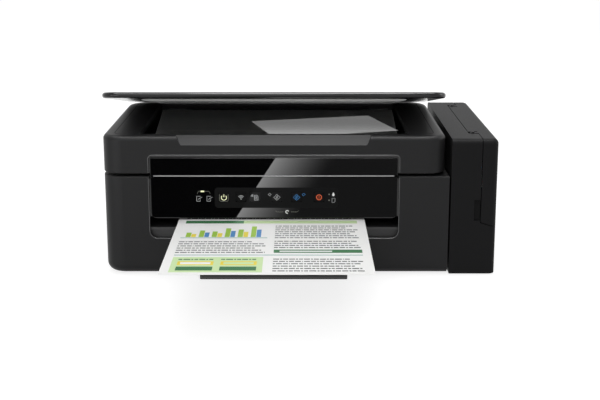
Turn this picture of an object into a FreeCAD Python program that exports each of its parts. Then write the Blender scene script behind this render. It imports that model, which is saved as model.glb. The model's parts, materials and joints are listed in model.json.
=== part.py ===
import FreeCAD, Part
import math
import os
import re

import Sketcher

# Driving sizes in millimetres, angles in degrees
SIZES = {
    # Outer case
    "case_width": 445,
    "case_depth": 304,
    "case_wall": 2.5,
    "floor_thickness": 3,
    "foot_height": 1.5,
    "foot_radius": 8,
    "foot_inset": 34,
    "corner_radius": 23,
    "rear_radius": 12,
    "bottom_radius": 10,
    "seam_edge": 0.9,
    "seam_height": 115,
    "seam_gap": 3.4,
    "deck_thickness": 2.5,
    "deck_rim": 15,
    "pan_inset": 20,
    "pan_flange": 5,
    "pan_lap": 2,
    "slip": 0.3,
    "running": 0.05,
    "overcut": 1,
    "fuse_lap": 0.5,
    # Front opening and control panel
    "opening_width": 281,
    "opening_bottom": 43.7,
    "opening_top": 139,
    "opening_radius": 8.5,
    "opening_top_radius": 4,
    "panel_gap": 1.6,
    "panel_bottom": 66.6,
    "panel_top_gap": 0.4,
    "panel_recess": 1,
    "panel_thickness": 4.5,
    "panel_flange": 6,
    "panel_radius": 6,
    "panel_edge": 0.6,
    "panel_lap": 2,
    "boss_radius": 3,
    "header_bottom": 116.2,
    "header_top": 136.4,
    # Buttons
    "button_width": 11,
    "button_height": 10,
    "button_level": 91,
    "button_radius": 2,
    "button_edge": 0.25,
    "button_proud": 0.3,
    "button_travel": 0.8,
    "board_gap": 3.5,
    "board_thickness": 1.6,
    "board_margin": 11,
    "switch_half": 3,
    "button_lip": 1,
    "power_place": -56.5,
    "wireless_place": -37.2,
    "network_place": -21.5,
    "mono_place": 3.2,
    "colour_place": 25.4,
    "stop_place": 50.7,
    # Scanner unit
    "bed_height": 161,
    "bed_depth": 250,
    "bed_front_radius": 20,
    "bed_rear_radius": 30,
    "bed_edge": 5.5,
    "bed_top": 3.5,
    "scanner_gap": 6,
    "bed_bezel": 41.75,
    "window_front": 15,
    "window_back": 232,
    "window_radius": 3,
    "glass_margin": 4,
    "glass_thickness": 3,
    "recess_width": 219,
    "recess_taper": 6,
    "recess_bottom": 150.7,
    "recess_depth": 8,
    "recess_past": 0.2,
    "recess_bar": 10.5,
    "tub_floor": 2.5,
    "tub_wall": 2,
    "tub_height": 18,
    "scan_rod_radius": 4,
    "scan_rod_height": 11,
    "scan_head_width": 18,
    "scan_head_height": 15,
    "scan_head_margin": 6,
    "scan_clear": 0.7,
    "scan_end": 1,
    "lens_half": 2,
    "lens_inset": 3,
    "lens_depth": 1.5,
    "scan_post": 6,
    # Scanner hinge
    "scanner_axis_back": 258,
    "scanner_axis_rise": 6,
    "scanner_knuckle": 4,
    "scanner_pin": 2,
    "scanner_arm_half": 6,
    "scanner_ear": 4,
    "scanner_arm_clear": 7.25,
    # Document lid
    "lid_thickness": 6.5,
    "lid_open": 10.1,
    "lid_axis_back": 240,
    "lid_front": 0.5,
    "lid_gap": 0.4,
    "lid_edge": 3.1,
    "mat_margin": 2.5,
    "mat_thickness": 3,
    "lid_hinge_place": 131,
    "lid_eye_half": 11,
    "lid_eye_radius": 3.1,
    "lid_pin": 1.5,
    "lid_pin_reach": 6,
    "lid_notch": 8,
    "lid_post_depth": 12.5,
    # Ink tank unit
    "tank_width": 52.5,
    "tank_depth": 267,
    "tank_height": 157.5,
    "tank_gap": 2,
    "tank_edge": 6,
    "tank_corner": 8,
    "cover_seam": 18,
    "cover_top_seam": 29,
    "cover_low": 56,
    "cover_slant": 6,
    "cover_gap": 0.8,
    "notch_width": 7,
    "notch_bottom": 64,
    "notch_height": 24,
    "notch_depth": 2,
    "cover_axis_in": 24.5,
    "cover_axis_down": 2,
    "cover_knuckle": 3.2,
    "cover_pin": 1.5,
    "cover_knuckle_length": 8,
    "cover_ear": 3,
    "cover_ear_past": 1,
    "cover_lap": 2,
    "pad_radius": 6,
    "pad_drop": 20,
    "knuckle_front": 42,
    "knuckle_back_in": 33,
    "ink_black_length": 62,
    "ink_gap": 4,
    "ink_height": 112,
    "ink_inset": 4,
    "ink_start": 12,
    "ink_end": 25,
    "cap_radius": 9,
    "cap_height": 12,
    "tube_radius": 2.2,
    "tube_height": 16,
    "tube_spacing": 6,
    "tube_bend": 9,
    "tube_clear": 12,
    "tube_end": 246,
    "tube_block": 10,
    # Paper path and output tray
    "paper_offset": 2.75,
    "paper_width": 210,
    "paper_length": 297,
    "paper_thickness": 0.3,
    "paper_level": 64.5,
    "paper_clear": 0.5,
    "sheet_reach": 207,
    "tray_reach": 208,
    "tray_step": 66,
    "tray_lap": 12,
    "tray_shift": 6.6,
    "tip_width": 142,
    "tip_thickness": 2.8,
    "tip_lip": 2,
    "tip_sink": 0.7,
    "rail_width": 3.5,
    "tray_floor": 2,
    "deck_plate": 3,
    "deck_apron": 3,
    "deck_back": 82,
    "deck_leg": 3,
    # Print mechanism
    "frame_sheet": 1.2,
    "frame_left_in": 32,
    "frame_right_in": 18,
    "frame_front": 92,
    "frame_back": 214,
    "frame_top": 110,
    "frame_paper_gap": 75,
    "roller_radius": 6,
    "shaft_radius": 3,
    "bush_radius": 6,
    "bush_width": 3.5,
    "feed_back": 190,
    "nip_gap": 0.3,
    "gear_module": 1,
    "gear_width": 6,
    "gear_gap": 3,
    "feed_teeth": 40,
    "idler_teeth": 46,
    "pinion_teeth": 16,
    "pinion_angle": 45,
    "shaft_past": 3,
    "stud_past": 1,
    "platen_front": 124,
    "platen_back": 178,
    "platen_rib": 3,
    "platen_base": 5,
    "platen_margin": 8,
    "platen_rib_pitch": 19,
    "rod_radius": 4,
    "rod_back": 192,
    "rod_level": 98,
    "carriage_clear": 3.8,
    "park_gap": 6,
    "carriage_front": 128,
    "carriage_back": 200,
    "carriage_bottom": 72,
    "carriage_top": 111,
    "clamp_half": 6,
    "clamp_grip": 3,
    "head_side": 10,
    "head_front": 136,
    "head_back": 170,
    "head_gap": 1.6,
    "cap_gap": 0.4,
    "pulley_radius": 6,
    "pulley_flange": 8.2,
    "pulley_width": 6.5,
    "belt_thickness": 1.2,
    "belt_width": 4.5,
    "belt_back": 206,
    "drive_in": 11,
    "idler_in": 20,
    "motor_shaft": 1.5,
    "motor_radius": 14,
    "drive_motor_radius": 12.6,
    "motor_length": 28,
    "stud_radius": 2,
    # Rear feeder
    "feeder_width": 308,
    "feeder_front": 266,
    "feeder_top": 146,
    "feeder_radius": 6,
    "slot_front": 271,
    "slot_back": 294,
    "slot_margin": 5,
    "ramp_thickness": 3,
    "ramp_low_back": 236,
    "ramp_low": 60,
    "cheek": 3,
    "cheek_margin": 12,
    "pickup_radius": 16,
    "pickup_width": 40,
    "pickup_back": 238,
    "pickup_level": 87,
    "pickup_shaft": 4,
    "support_width": 120,
    "support_thickness": 3,
    "support_low": 44,
    "support_tab": 3,
    "guide_thickness": 3,
    "guide_rise": 6,
    "guide_clear": 0.5,
    # Electronics
    "supply_in": 8,
    "supply_width": 56,
    "supply_depth": 54,
    "supply_height": 48,
    "inlet_width": 26,
    "inlet_height": 18,
    "inlet_depth": 16,
    "inlet_level": 22,
    "inlet_hole": 12,
    "port_width": 14,
    "port_height": 12,
    "port_depth": 18,
    "port_hole": 8,
    "port_wall": 2,
    "main_board_width": 180,
    "main_board_front": 185,
    "main_board_rise": 4,
    "port_place": 74,
    "screw_head": 3,
    "screw_shank": 1.4,
    "screw_depth": 1.4,
    "screw_length": 7,
    "screw_sunk": 0.2,
    "screw_slot_length": 4,
    "screw_slot_width": 0.8,
    "screw_slot_depth": 0.6,
    "screw_high": 100,
    "screw_low": 66,
}

# Places and sizes that follow from the driving ones
DERIVED = {
    "case_left": "-case_width / 2",
    "case_right": "case_width / 2",
    "case_front": "(tray_reach - case_depth) / 2",
    "case_back": "case_front + case_depth",
    "case_bottom": "foot_height",
    "floor_top": "case_bottom + floor_thickness",
    "pan_top": "floor_top + pan_lap",
    "tank_left": "case_right - tank_width",
    "lower_right": "tank_left - tank_gap",
    "scanner_right": "tank_left - scanner_gap",
    "bed_centre": "(case_left + scanner_right) / 2",
    "scanner_bottom": "seam_height + seam_gap",
    "opening_left": "bed_centre - opening_width / 2",
    "opening_right": "bed_centre + opening_width / 2",
    "panel_left": "opening_left + panel_gap",
    "panel_right": "opening_right - panel_gap",
    "panel_top": "seam_height - panel_top_gap",
    "panel_face": "case_front + panel_recess",
    "panel_back": "panel_face + panel_thickness",
    "wall_back": "case_front + case_wall",
    "board_face": "panel_back + board_gap",
    "bed_back": "case_front + bed_depth",
    "glass_top": "bed_height - bed_top",
    "glass_bottom": "glass_top - glass_thickness",
    "tub_top": "scanner_bottom + tub_floor",
    "scan_rod_level": "tub_top + scan_rod_height",
    "scan_rod_y": "case_front + bed_depth / 2",
    "window_width": "scanner_right - case_left - 2 * bed_bezel",
    "scan_head_left": "bed_centre - window_width / 2 - scan_head_width - scan_head_margin",
    "scan_head_top": "glass_bottom - scan_clear",
    "scanner_axis_y": "case_front + scanner_axis_back",
    "scanner_axis_z": "seam_height + scanner_axis_rise",
    "lid_axis_y": "case_front + lid_axis_back",
    "lid_axis_z": "bed_height + lid_gap + lid_thickness / 2",
    "lid_half": "lid_thickness / 2",
    "lid_length": "lid_axis_back - lid_front",
    "lid_width_half": "(scanner_right - case_left) / 2",
    "cover_edge": "case_right - cover_seam",
    "cover_top_edge": "case_right - cover_top_seam",
    "cover_axis_x": "case_right - cover_axis_in",
    "cover_axis_z": "tank_height - cover_axis_down",
    "tank_back": "case_front + tank_depth",
    "knuckle_back": "tank_depth - knuckle_back_in",
    "ink_length": "(tank_depth - ink_start - ink_black_length - 3 * ink_gap - ink_end) / 3",
    "paper_centre": "bed_centre - paper_offset",
    "tray_centre": "paper_centre + tray_shift",
    "sheet_front": "case_front - sheet_reach",
    "tray_top": "paper_level - paper_clear",
    "tip_bottom": "tray_top - tip_sink - tip_thickness",
    "mid_bottom": "tip_bottom - slip - tray_floor",
    "outer_bottom": "mid_bottom - slip - tray_floor",
    "deck_top": "outer_bottom - slip",
    "deck_bottom": "deck_top - deck_plate",
    "mid_half": "tip_width / 2 + slip + rail_width",
    "outer_half": "mid_half + slip + rail_width",
    "guide_half": "outer_half + slip + rail_width",
    "frame_left": "case_left + frame_left_in",
    "frame_right": "lower_right - frame_right_in",
    "feed_y": "case_front + feed_back",
    "exit_y": "feed_y - (feed_teeth + idler_teeth) * gear_module",
    "roller_z": "paper_level - nip_gap - roller_radius",
    "idler_y": "(feed_y + exit_y) / 2",
    "gear_right": "frame_left - gear_gap",
    "gear_left": "gear_right - gear_width",
    "pinion_reach": "(feed_teeth + pinion_teeth) * gear_module / 2",
    "pinion_y": "feed_y + pinion_reach * cos(pinion_angle * 1 deg)",
    "pinion_z": "roller_z - pinion_reach * sin(pinion_angle * 1 deg)",
    "rod_y": "case_front + rod_back",
    "belt_y": "case_front + belt_back",
    "head_bottom": "paper_level + paper_thickness + head_gap",
    "frame_rear": "case_front + frame_back",
    "drive_x": "frame_right - drive_in",
    "idler_x": "frame_left + idler_in",
    "park_left": "paper_centre + paper_width / 2 + park_gap",
    "park_right": "frame_right - frame_sheet - carriage_clear",
    "carriage_width": "park_right - park_left",
    "carriage_home": "(park_left + park_right) / 2",
    "head_width": "carriage_width - 2 * head_side",
    "feeder_left": "bed_centre - feeder_width / 2",
    "feeder_right": "bed_centre + feeder_width / 2",
    "feeder_face": "case_front + feeder_front",
    "slot_half": "paper_width / 2 + slot_margin",
    "cheek_half": "paper_width / 2 + cheek_margin",
    "well_half": "paper_offset + cheek_half + cheek",
    "scanner_arm_place": "well_half + scanner_arm_clear + scanner_ear + scanner_arm_half",
    "support_y": "case_back - case_wall - slip - support_thickness",
    "ramp_low_y": "case_front + ramp_low_back",
    "ramp_high_y": "case_front + slot_back",
    "pickup_y": "case_front + pickup_back",
    "board_bottom": "pan_top + main_board_rise",
    "board_top": "board_bottom + board_thickness",
    "supply_left": "case_left + case_wall + supply_in",
    "supply_back": "case_back - inlet_depth",
    "inlet_x": "supply_left + supply_width / 2",
    "port_x": "paper_centre - port_place",
}

BUTTONS = {
    "power_button": "power_place",
    "wireless_button": "wireless_place",
    "network_button": "network_place",
    "mono_copy_button": "mono_place",
    "colour_copy_button": "colour_place",
    "stop_button": "stop_place",
}

# How near an edge lies to the height or face that picks it out
NEAR = 1
TOUCH = 1e-3

doc = FreeCAD.newDocument("InkjetPrinter")
sheet = doc.addObject("Spreadsheet::Sheet", "Sizes")
for row, (alias, number) in enumerate(list(SIZES.items()) + list(DERIVED.items()), start=1):
    sheet.set(f"A{row}", alias)
    sheet.set(f"B{row}", f"={number}" if alias in DERIVED else str(number))
    sheet.setAlias(f"B{row}", alias)
doc.recompute()

NODES = {}
TURNS = {
    "X": FreeCAD.Rotation(FreeCAD.Vector(1, 1, 1), 120),
    "Y": FreeCAD.Rotation(FreeCAD.Vector(1, 1, 1), 240),
    "Z": FreeCAD.Rotation(),
}
ROD_TURNS = {
    "X": FreeCAD.Rotation(FreeCAD.Vector(0, 1, 0), 90),
    "Y": FreeCAD.Rotation(FreeCAD.Vector(1, 0, 0), -90),
    "Z": FreeCAD.Rotation(),
}


def bind(text):
    """Point every size named in an expression at the sheet."""
    return re.sub(
        r"[a-z_][a-z_0-9]*",
        lambda found: "Sizes." + found.group() if sheet.getCellFromAlias(found.group()) else found.group(),
        text,
    )


def size(text):
    """The present value of an expression of named sizes."""
    return float(sheet.evalExpression(bind(text)))


def place(thing, x="0", y="0", z="0", turn=None):
    """Bind an object's place to the sheet, after its turn is set."""
    if turn is not None:
        thing.Placement = FreeCAD.Placement(FreeCAD.Vector(), turn)
    for side, text in zip("xyz", (x, y, z)):
        thing.setExpression(f"Placement.Base.{side}", bind(text))
    return thing


def box(name, x, y, z):
    """A block between two bounds along each axis."""
    block = doc.addObject("Part::Box", name)
    for side, (low, high) in zip(("Length", "Width", "Height"), (x, y, z)):
        block.setExpression(side, bind(f"({high}) - ({low})"))
    return place(block, x[0], y[0], z[0])


def rod(name, axis, across, radius, span):
    """A cylinder along an axis, at the two other coordinates, between two bounds."""
    bar = doc.addObject("Part::Cylinder", name)
    bar.setExpression("Radius", bind(radius))
    bar.setExpression("Height", bind(f"({span[1]}) - ({span[0]})"))
    where = {
        "X": (span[0], across[0], across[1]),
        "Y": (across[0], span[0], across[1]),
        "Z": (across[0], across[1], span[0]),
    }[axis]
    return place(bar, *where, turn=ROD_TURNS[axis])


def prism(name, axis, points, span):
    """A polygon sketched across an axis and padded between two bounds along it.

    Points are (y, z) across X, (x, z) across Y and (x, y) across Z.
    """
    body = doc.addObject("PartDesign::Body", name)
    sketch = body.newObject("Sketcher::SketchObject", name + "_outline")
    plane = [origin for origin in body.Origin.OriginFeatures if origin.Role == "XY_Plane"][0]
    sketch.AttachmentSupport = [(plane, "")]
    sketch.MapMode = "FlatFace"
    local = [(second, first) if axis == "Y" else (first, second) for first, second in points]
    corners = [FreeCAD.Vector(size(u), size(v), 0) for u, v in local]
    count = len(local)
    for index in range(count):
        sketch.addGeometry(Part.LineSegment(corners[index], corners[(index + 1) % count]), False)
    for index in range(count):
        sketch.addConstraint(Sketcher.Constraint("Coincident", index, 2, (index + 1) % count, 1))
    for index, (u, v) in enumerate(local):
        for kind, text in (("DistanceX", u), ("DistanceY", v)):
            number = sketch.addConstraint(Sketcher.Constraint(kind, -1, 1, index, 1, size(text)))
            sketch.setExpression(f"Constraints[{number}]", bind(text))
    pad = body.newObject("PartDesign::Pad", name + "_pad")
    pad.Profile = sketch
    pad.setExpression("Length", bind(f"({span[1]}) - ({span[0]})"))
    where = {"X": (span[0], "0", "0"), "Y": ("0", span[0], "0"), "Z": ("0", "0", span[0])}[axis]
    place(body, *where, turn=TURNS[axis])
    doc.recompute()
    return body


def slab(name, axis, x, y, z):
    """A rectangular pad whose edges can be rounded afterwards."""
    across = {"X": (y, z), "Y": (x, z), "Z": (x, y)}[axis]
    (u_low, u_high), (v_low, v_high) = across
    points = [(u_low, v_low), (u_high, v_low), (u_high, v_high), (u_low, v_high)]
    return prism(name, axis, points, {"X": x, "Y": y, "Z": z}[axis])


def round_edges(body, radius, chosen):
    """Round the edges that a test of their middle point and direction picks out."""
    tip = body.Tip
    names = []
    for number, edge in enumerate(tip.Shape.Edges, start=1):
        middle = (edge.FirstParameter + edge.LastParameter) / 2
        point = body.Placement.multVec(edge.valueAt(middle))
        along = body.Placement.Rotation.multVec(edge.tangentAt(middle))
        if chosen(point, along):
            names.append(f"Edge{number}")
    fillet = body.newObject("PartDesign::Fillet", f"{body.Name}_round{len(body.Group)}")
    fillet.Base = (tip, names)
    fillet.setExpression("Radius", bind(radius))
    body.Tip = fillet
    doc.recompute()
    return body


def joined(name, things):
    """One solid made of several that touch or overlap."""
    union = doc.addObject("Part::MultiFuse", name)
    union.Shapes = list(things)
    union.Refine = True
    return union


def cut(name, base, tools):
    """A solid with one or more tools taken away."""
    result = doc.addObject("Part::Cut", name)
    result.Base = base
    result.Tool = tools[0] if len(tools) == 1 else joined(name + "_tools", tools)
    result.Refine = True
    return result


def group(name, things):
    """Separate solids that share one node."""
    bundle = doc.addObject("Part::Compound", name)
    bundle.Links = list(things)
    return bundle


def node(name, thing):
    """Name a finished sub-part."""
    thing.Label = name
    NODES[name] = thing
    return thing


def upright(along):
    return abs(along.z) > 0.9


def level(along):
    return abs(along.z) < 0.1


# Feet and base pan

def make_feet():
    left = "case_left + foot_inset"
    front = "case_front + foot_inset"
    back = "case_back - foot_inset"
    under_tank = "(tank_left + case_right) / 2"
    spots = [
        (left, front),
        (left, back),
        ("lower_right - foot_inset", front),
        ("lower_right - foot_inset", back),
        (under_tank, front),
        (under_tank, "tank_back - foot_inset"),
    ]
    feet = [
        rod(f"foot_{number}", "Z", spot, "foot_radius", ("0", "foot_height"))
        for number, spot in enumerate(spots)
    ]
    node("rubber_feet", group("feet", feet))


def pan_bounds(margin):
    """The base opening in the lower case, grown by a margin."""
    return (
        (f"case_left + pan_inset - ({margin})", f"lower_right - pan_inset + ({margin})"),
        (f"case_front + pan_inset - ({margin})", f"case_back - pan_inset + ({margin})"),
    )


def make_base_pan():
    plate = box("pan_plate", *pan_bounds("-slip"), ("case_bottom", "pan_top"))
    flange = box("pan_flange", *pan_bounds("pan_flange"), ("floor_top", "pan_top"))
    node("base_pan", joined("pan", [plate, flange]))


# Lower case

def case_block(name, inset, bottom, top):
    """The outline of the lower case drawn in by an inset, rounded at the left and below."""
    block = slab(
        name,
        "Z",
        (f"case_left + ({inset})", f"lower_right - ({inset})"),
        (f"case_front + ({inset})", f"case_back - ({inset})"),
        (bottom, top),
    )
    middle_x = size("bed_centre")
    middle_y = size("(case_front + case_back) / 2")
    low = size(bottom)
    round_edges(
        block,
        f"corner_radius - ({inset})",
        lambda point, along: upright(along) and point.x < middle_x and point.y < middle_y,
    )
    round_edges(
        block,
        f"rear_radius - ({inset})",
        lambda point, along: upright(along) and point.x < middle_x and point.y > middle_y,
    )
    return round_edges(
        block,
        f"bottom_radius - ({inset})",
        lambda point, along: abs(point.z - low) < TOUCH and not (abs(along.y) > 0.9 and point.x > middle_x),
    )


def tube_holes(name, radius):
    """Clearance holes for the four ink tubes through the walls beside the tank."""
    return [
        rod(
            f"{name}_{colour}",
            "X",
            (f"case_front + ({tank_middle(colour)})", tube_level(colour)),
            radius,
            ("lower_right - 2 * case_wall", "tank_left + 2 * case_wall"),
        )
        for colour in INKS
    ]


def scanner_ears():
    """Ears and pins on the rear deck that carry the scanner unit."""
    pieces = []
    for number, sign in enumerate(("-", "+")):
        centre = f"bed_centre {sign} scanner_arm_place"
        inner = "scanner_arm_half + slip"
        outer = "scanner_arm_half + slip + scanner_ear"
        deep = ("scanner_axis_y - scanner_knuckle", "scanner_axis_y + scanner_knuckle")
        high = ("seam_height - deck_thickness", "scanner_axis_z + scanner_knuckle")
        low = (f"{centre} - ({outer})", f"{centre} - ({inner})")
        far = (f"{centre} + {inner}", f"{centre} + {outer}")
        pieces.append(box(f"ear_low_{number}", low, deep, high))
        pieces.append(box(f"ear_high_{number}", far, deep, high))
        pieces.append(
            rod(
                f"scanner_pin_{number}",
                "X",
                ("scanner_axis_y", "scanner_axis_z"),
                "scanner_pin",
                (f"{centre} - ({outer})", f"{centre} + {outer}"),
            )
        )
    return pieces


def screw_spots():
    """Where the rear screws sit, as X and Z."""
    outer = "case_left + 2 * rear_radius"
    inner = "lower_right - rear_radius"
    return [(outer, "screw_high"), (inner, "screw_high"), (outer, "screw_low"), (inner, "screw_low")]


def make_lower_case():
    outer = case_block("case_outer", "0", "case_bottom", "seam_height")
    top = size("seam_height")
    round_edges(outer, "seam_edge", lambda point, along: level(along) and abs(point.z - top) < TOUCH)
    inner = case_block("case_inner", "case_wall", "floor_top", "seam_height - deck_thickness")
    mouth = slab(
        "case_mouth",
        "Y",
        ("opening_left", "opening_right"),
        ("case_front - overcut", "panel_back + slip"),
        ("opening_bottom", "seam_height + overcut"),
    )
    low = size("opening_bottom")
    round_edges(mouth, "opening_radius", lambda point, along: abs(along.y) > 0.9 and point.z < low + NEAR)
    well = box(
        "case_well",
        ("case_left + deck_rim", "lower_right - deck_rim"),
        ("case_front + deck_rim", "scanner_axis_y - 2 * scanner_knuckle"),
        ("seam_height - 2 * deck_thickness", "seam_height + overcut"),
    )
    paper_well = box(
        "case_paper_well",
        ("paper_centre - cheek_half - cheek - slip", "paper_centre + cheek_half + cheek + slip"),
        ("scanner_axis_y - 3 * scanner_knuckle", "case_back - case_wall"),
        ("seam_height - 2 * deck_thickness", "seam_height + overcut"),
    )
    hatch = box("case_hatch", *pan_bounds("0"), ("case_bottom - overcut", "floor_top + overcut"))
    rear = ("case_back - 2 * case_wall", "case_back + overcut")
    inlet = box(
        "case_inlet_hole",
        ("inlet_x - inlet_width / 2 - slip", "inlet_x + inlet_width / 2 + slip"),
        rear,
        ("inlet_level - slip", "inlet_level + inlet_height + slip"),
    )
    port = box(
        "case_port_hole",
        ("port_x - port_width / 2 - slip", "port_x + port_width / 2 + slip"),
        rear,
        ("board_top - slip", "board_top + port_height + slip"),
    )
    tools = [inner, mouth, well, paper_well, hatch, inlet, port]
    tools += tube_holes("case_tube_hole", "tube_radius + slip")
    for number, spot in enumerate(screw_spots()):
        head = ("case_back - screw_depth", "case_back + overcut")
        tools.append(rod(f"screw_sink_{number}", "Y", spot, "screw_head + slip", head))
        tools.append(rod(f"screw_hole_{number}", "Y", spot, "screw_shank + running", rear))
    shell = cut("case_shell", outer, tools)
    node("lower_case", joined("case_with_ears", [shell] + scanner_ears()))


def make_screws():
    screws = []
    for number, spot in enumerate(screw_spots()):
        seat = "case_back - screw_depth"
        head = rod(f"screw_head_{number}", "Y", spot, "screw_head", (seat, "case_back - screw_sunk"))
        shank = rod(f"screw_shank_{number}", "Y", spot, "screw_shank", (f"{seat} - screw_length", seat))
        slot = box(
            f"screw_slot_{number}",
            (f"{spot[0]} - screw_slot_length / 2", f"{spot[0]} + screw_slot_length / 2"),
            ("case_back - screw_sunk - screw_slot_depth", "case_back"),
            (f"{spot[1]} - screw_slot_width / 2", f"{spot[1]} + screw_slot_width / 2"),
        )
        screws.append(cut(f"screw_{number}", joined(f"screw_blank_{number}", [head, shank]), [slot]))
    node("case_screws", group("screws", screws))


# Control panel, its board and its buttons

def make_control_panel():
    face = slab(
        "panel_face_plate",
        "Y",
        ("panel_left", "panel_right"),
        ("panel_face", "panel_back"),
        ("panel_bottom", "panel_top"),
    )
    low = size("panel_bottom")
    round_edges(face, "panel_radius", lambda point, along: abs(along.y) > 0.9 and point.z < low + NEAR)
    front = size("panel_face")
    round_edges(face, "panel_edge", lambda point, along: abs(point.y - front) < TOUCH)
    flange = box(
        "panel_flange_plate",
        ("opening_left - panel_flange", "opening_right + panel_flange"),
        ("wall_back", "panel_back"),
        ("panel_bottom + panel_lap", "seam_height - deck_thickness - slip"),
    )
    plate = joined("panel_plate", [face, flange])
    holes = []
    bosses = []
    for name, offset in BUTTONS.items():
        centre = f"bed_centre + {offset}"
        holes.append(
            box(
                f"{name}_hole",
                (f"{centre} - button_width / 2 - slip", f"{centre} + button_width / 2 + slip"),
                ("panel_face - overcut", "panel_back + overcut"),
                ("button_level - button_height / 2 - slip", "button_level + button_height / 2 + slip"),
            )
        )
    for number, side in enumerate(("power_place - 2 * button_width", "stop_place + 2 * button_width")):
        spot = (f"bed_centre + {side}", "button_level")
        reach = ("panel_back - fuse_lap", "board_face")
        bosses.append(rod(f"panel_boss_{number}", "Y", spot, "boss_radius", reach))
    node("control_panel", joined("panel_with_bosses", [cut("panel_cut", plate, holes)] + bosses))


def make_panel_board():
    board = box(
        "board_sheet",
        ("bed_centre + power_place - 3 * button_width", "bed_centre + stop_place + 3 * button_width"),
        ("board_face", "board_face + board_thickness"),
        (
            "button_level - button_height / 2 - board_margin",
            "button_level + button_height / 2 + board_margin",
        ),
    )
    switches = [
        box(
            f"{name}_switch",
            (f"bed_centre + {offset} - switch_half", f"bed_centre + {offset} + switch_half"),
            ("board_face - board_gap + 2 * button_travel + 2 * slip", "board_face"),
            ("button_level - switch_half", "button_level + switch_half"),
        )
        for name, offset in BUTTONS.items()
    ]
    node("panel_board", joined("board_with_switches", [board] + switches))


def make_buttons():
    front = size("panel_face - button_proud")
    for name, offset in BUTTONS.items():
        centre = f"bed_centre + {offset}"
        high = ("button_level - button_height / 2", "button_level + button_height / 2")
        wide = (f"{centre} - button_width / 2", f"{centre} + button_width / 2")
        cap = slab(f"{name}_cap", "Y", wide, ("panel_face - button_proud", "panel_back + slip"), high)
        round_edges(cap, "button_radius", lambda point, along: abs(along.y) > 0.9)
        round_edges(cap, "button_edge", lambda point, along: abs(point.y - front) < TOUCH)
        flange = box(
            f"{name}_flange",
            (f"{centre} - button_width / 2 - button_lip", f"{centre} + button_width / 2 + button_lip"),
            ("panel_back + slip", "panel_back + slip + button_travel"),
            (
                "button_level - button_height / 2 - button_lip",
                "button_level + button_height / 2 + button_lip",
            ),
        )
        node(name, joined(f"{name}_piece", [cap, flange]))


# Scanner unit

def scanner_block(name, inset, bottom, top):
    """The outline of the scanner unit drawn in by an inset."""
    block = slab(
        name,
        "Z",
        (f"case_left + ({inset})", f"scanner_right - ({inset})"),
        (f"case_front + ({inset})", f"bed_back - ({inset})"),
        (bottom, top),
    )
    middle_x = size("bed_centre")
    middle_y = size("(case_front + bed_back) / 2")
    radii = [
        ("corner_radius", lambda point: point.x < middle_x and point.y < middle_y),
        ("bed_front_radius", lambda point: point.x > middle_x and point.y < middle_y),
        ("bed_rear_radius", lambda point: point.y > middle_y),
    ]
    for radius, inside in radii:
        round_edges(
            block,
            f"{radius} - ({inset})",
            lambda point, along, inside=inside: upright(along) and inside(point),
        )
    return block


def scanner_arms():
    """Arms behind the scanner case with eyes round the hinge pins."""
    arms = []
    holes = []
    for number, sign in enumerate(("-", "+")):
        centre = f"bed_centre {sign} scanner_arm_place"
        wide = (f"{centre} - scanner_arm_half", f"{centre} + scanner_arm_half")
        arms.append(
            box(
                f"arm_{number}",
                wide,
                ("bed_back - case_wall", "scanner_axis_y"),
                ("scanner_bottom", "scanner_axis_z + scanner_knuckle"),
            )
        )
        spot = ("scanner_axis_y", "scanner_axis_z")
        arms.append(rod(f"arm_eye_{number}", "X", spot, "scanner_knuckle", wide))
        holes.append(
            rod(
                f"arm_hole_{number}",
                "X",
                spot,
                "scanner_pin + running",
                (f"{wide[0]} - overcut", f"{wide[1]} + overcut"),
            )
        )
    return arms, holes


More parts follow.
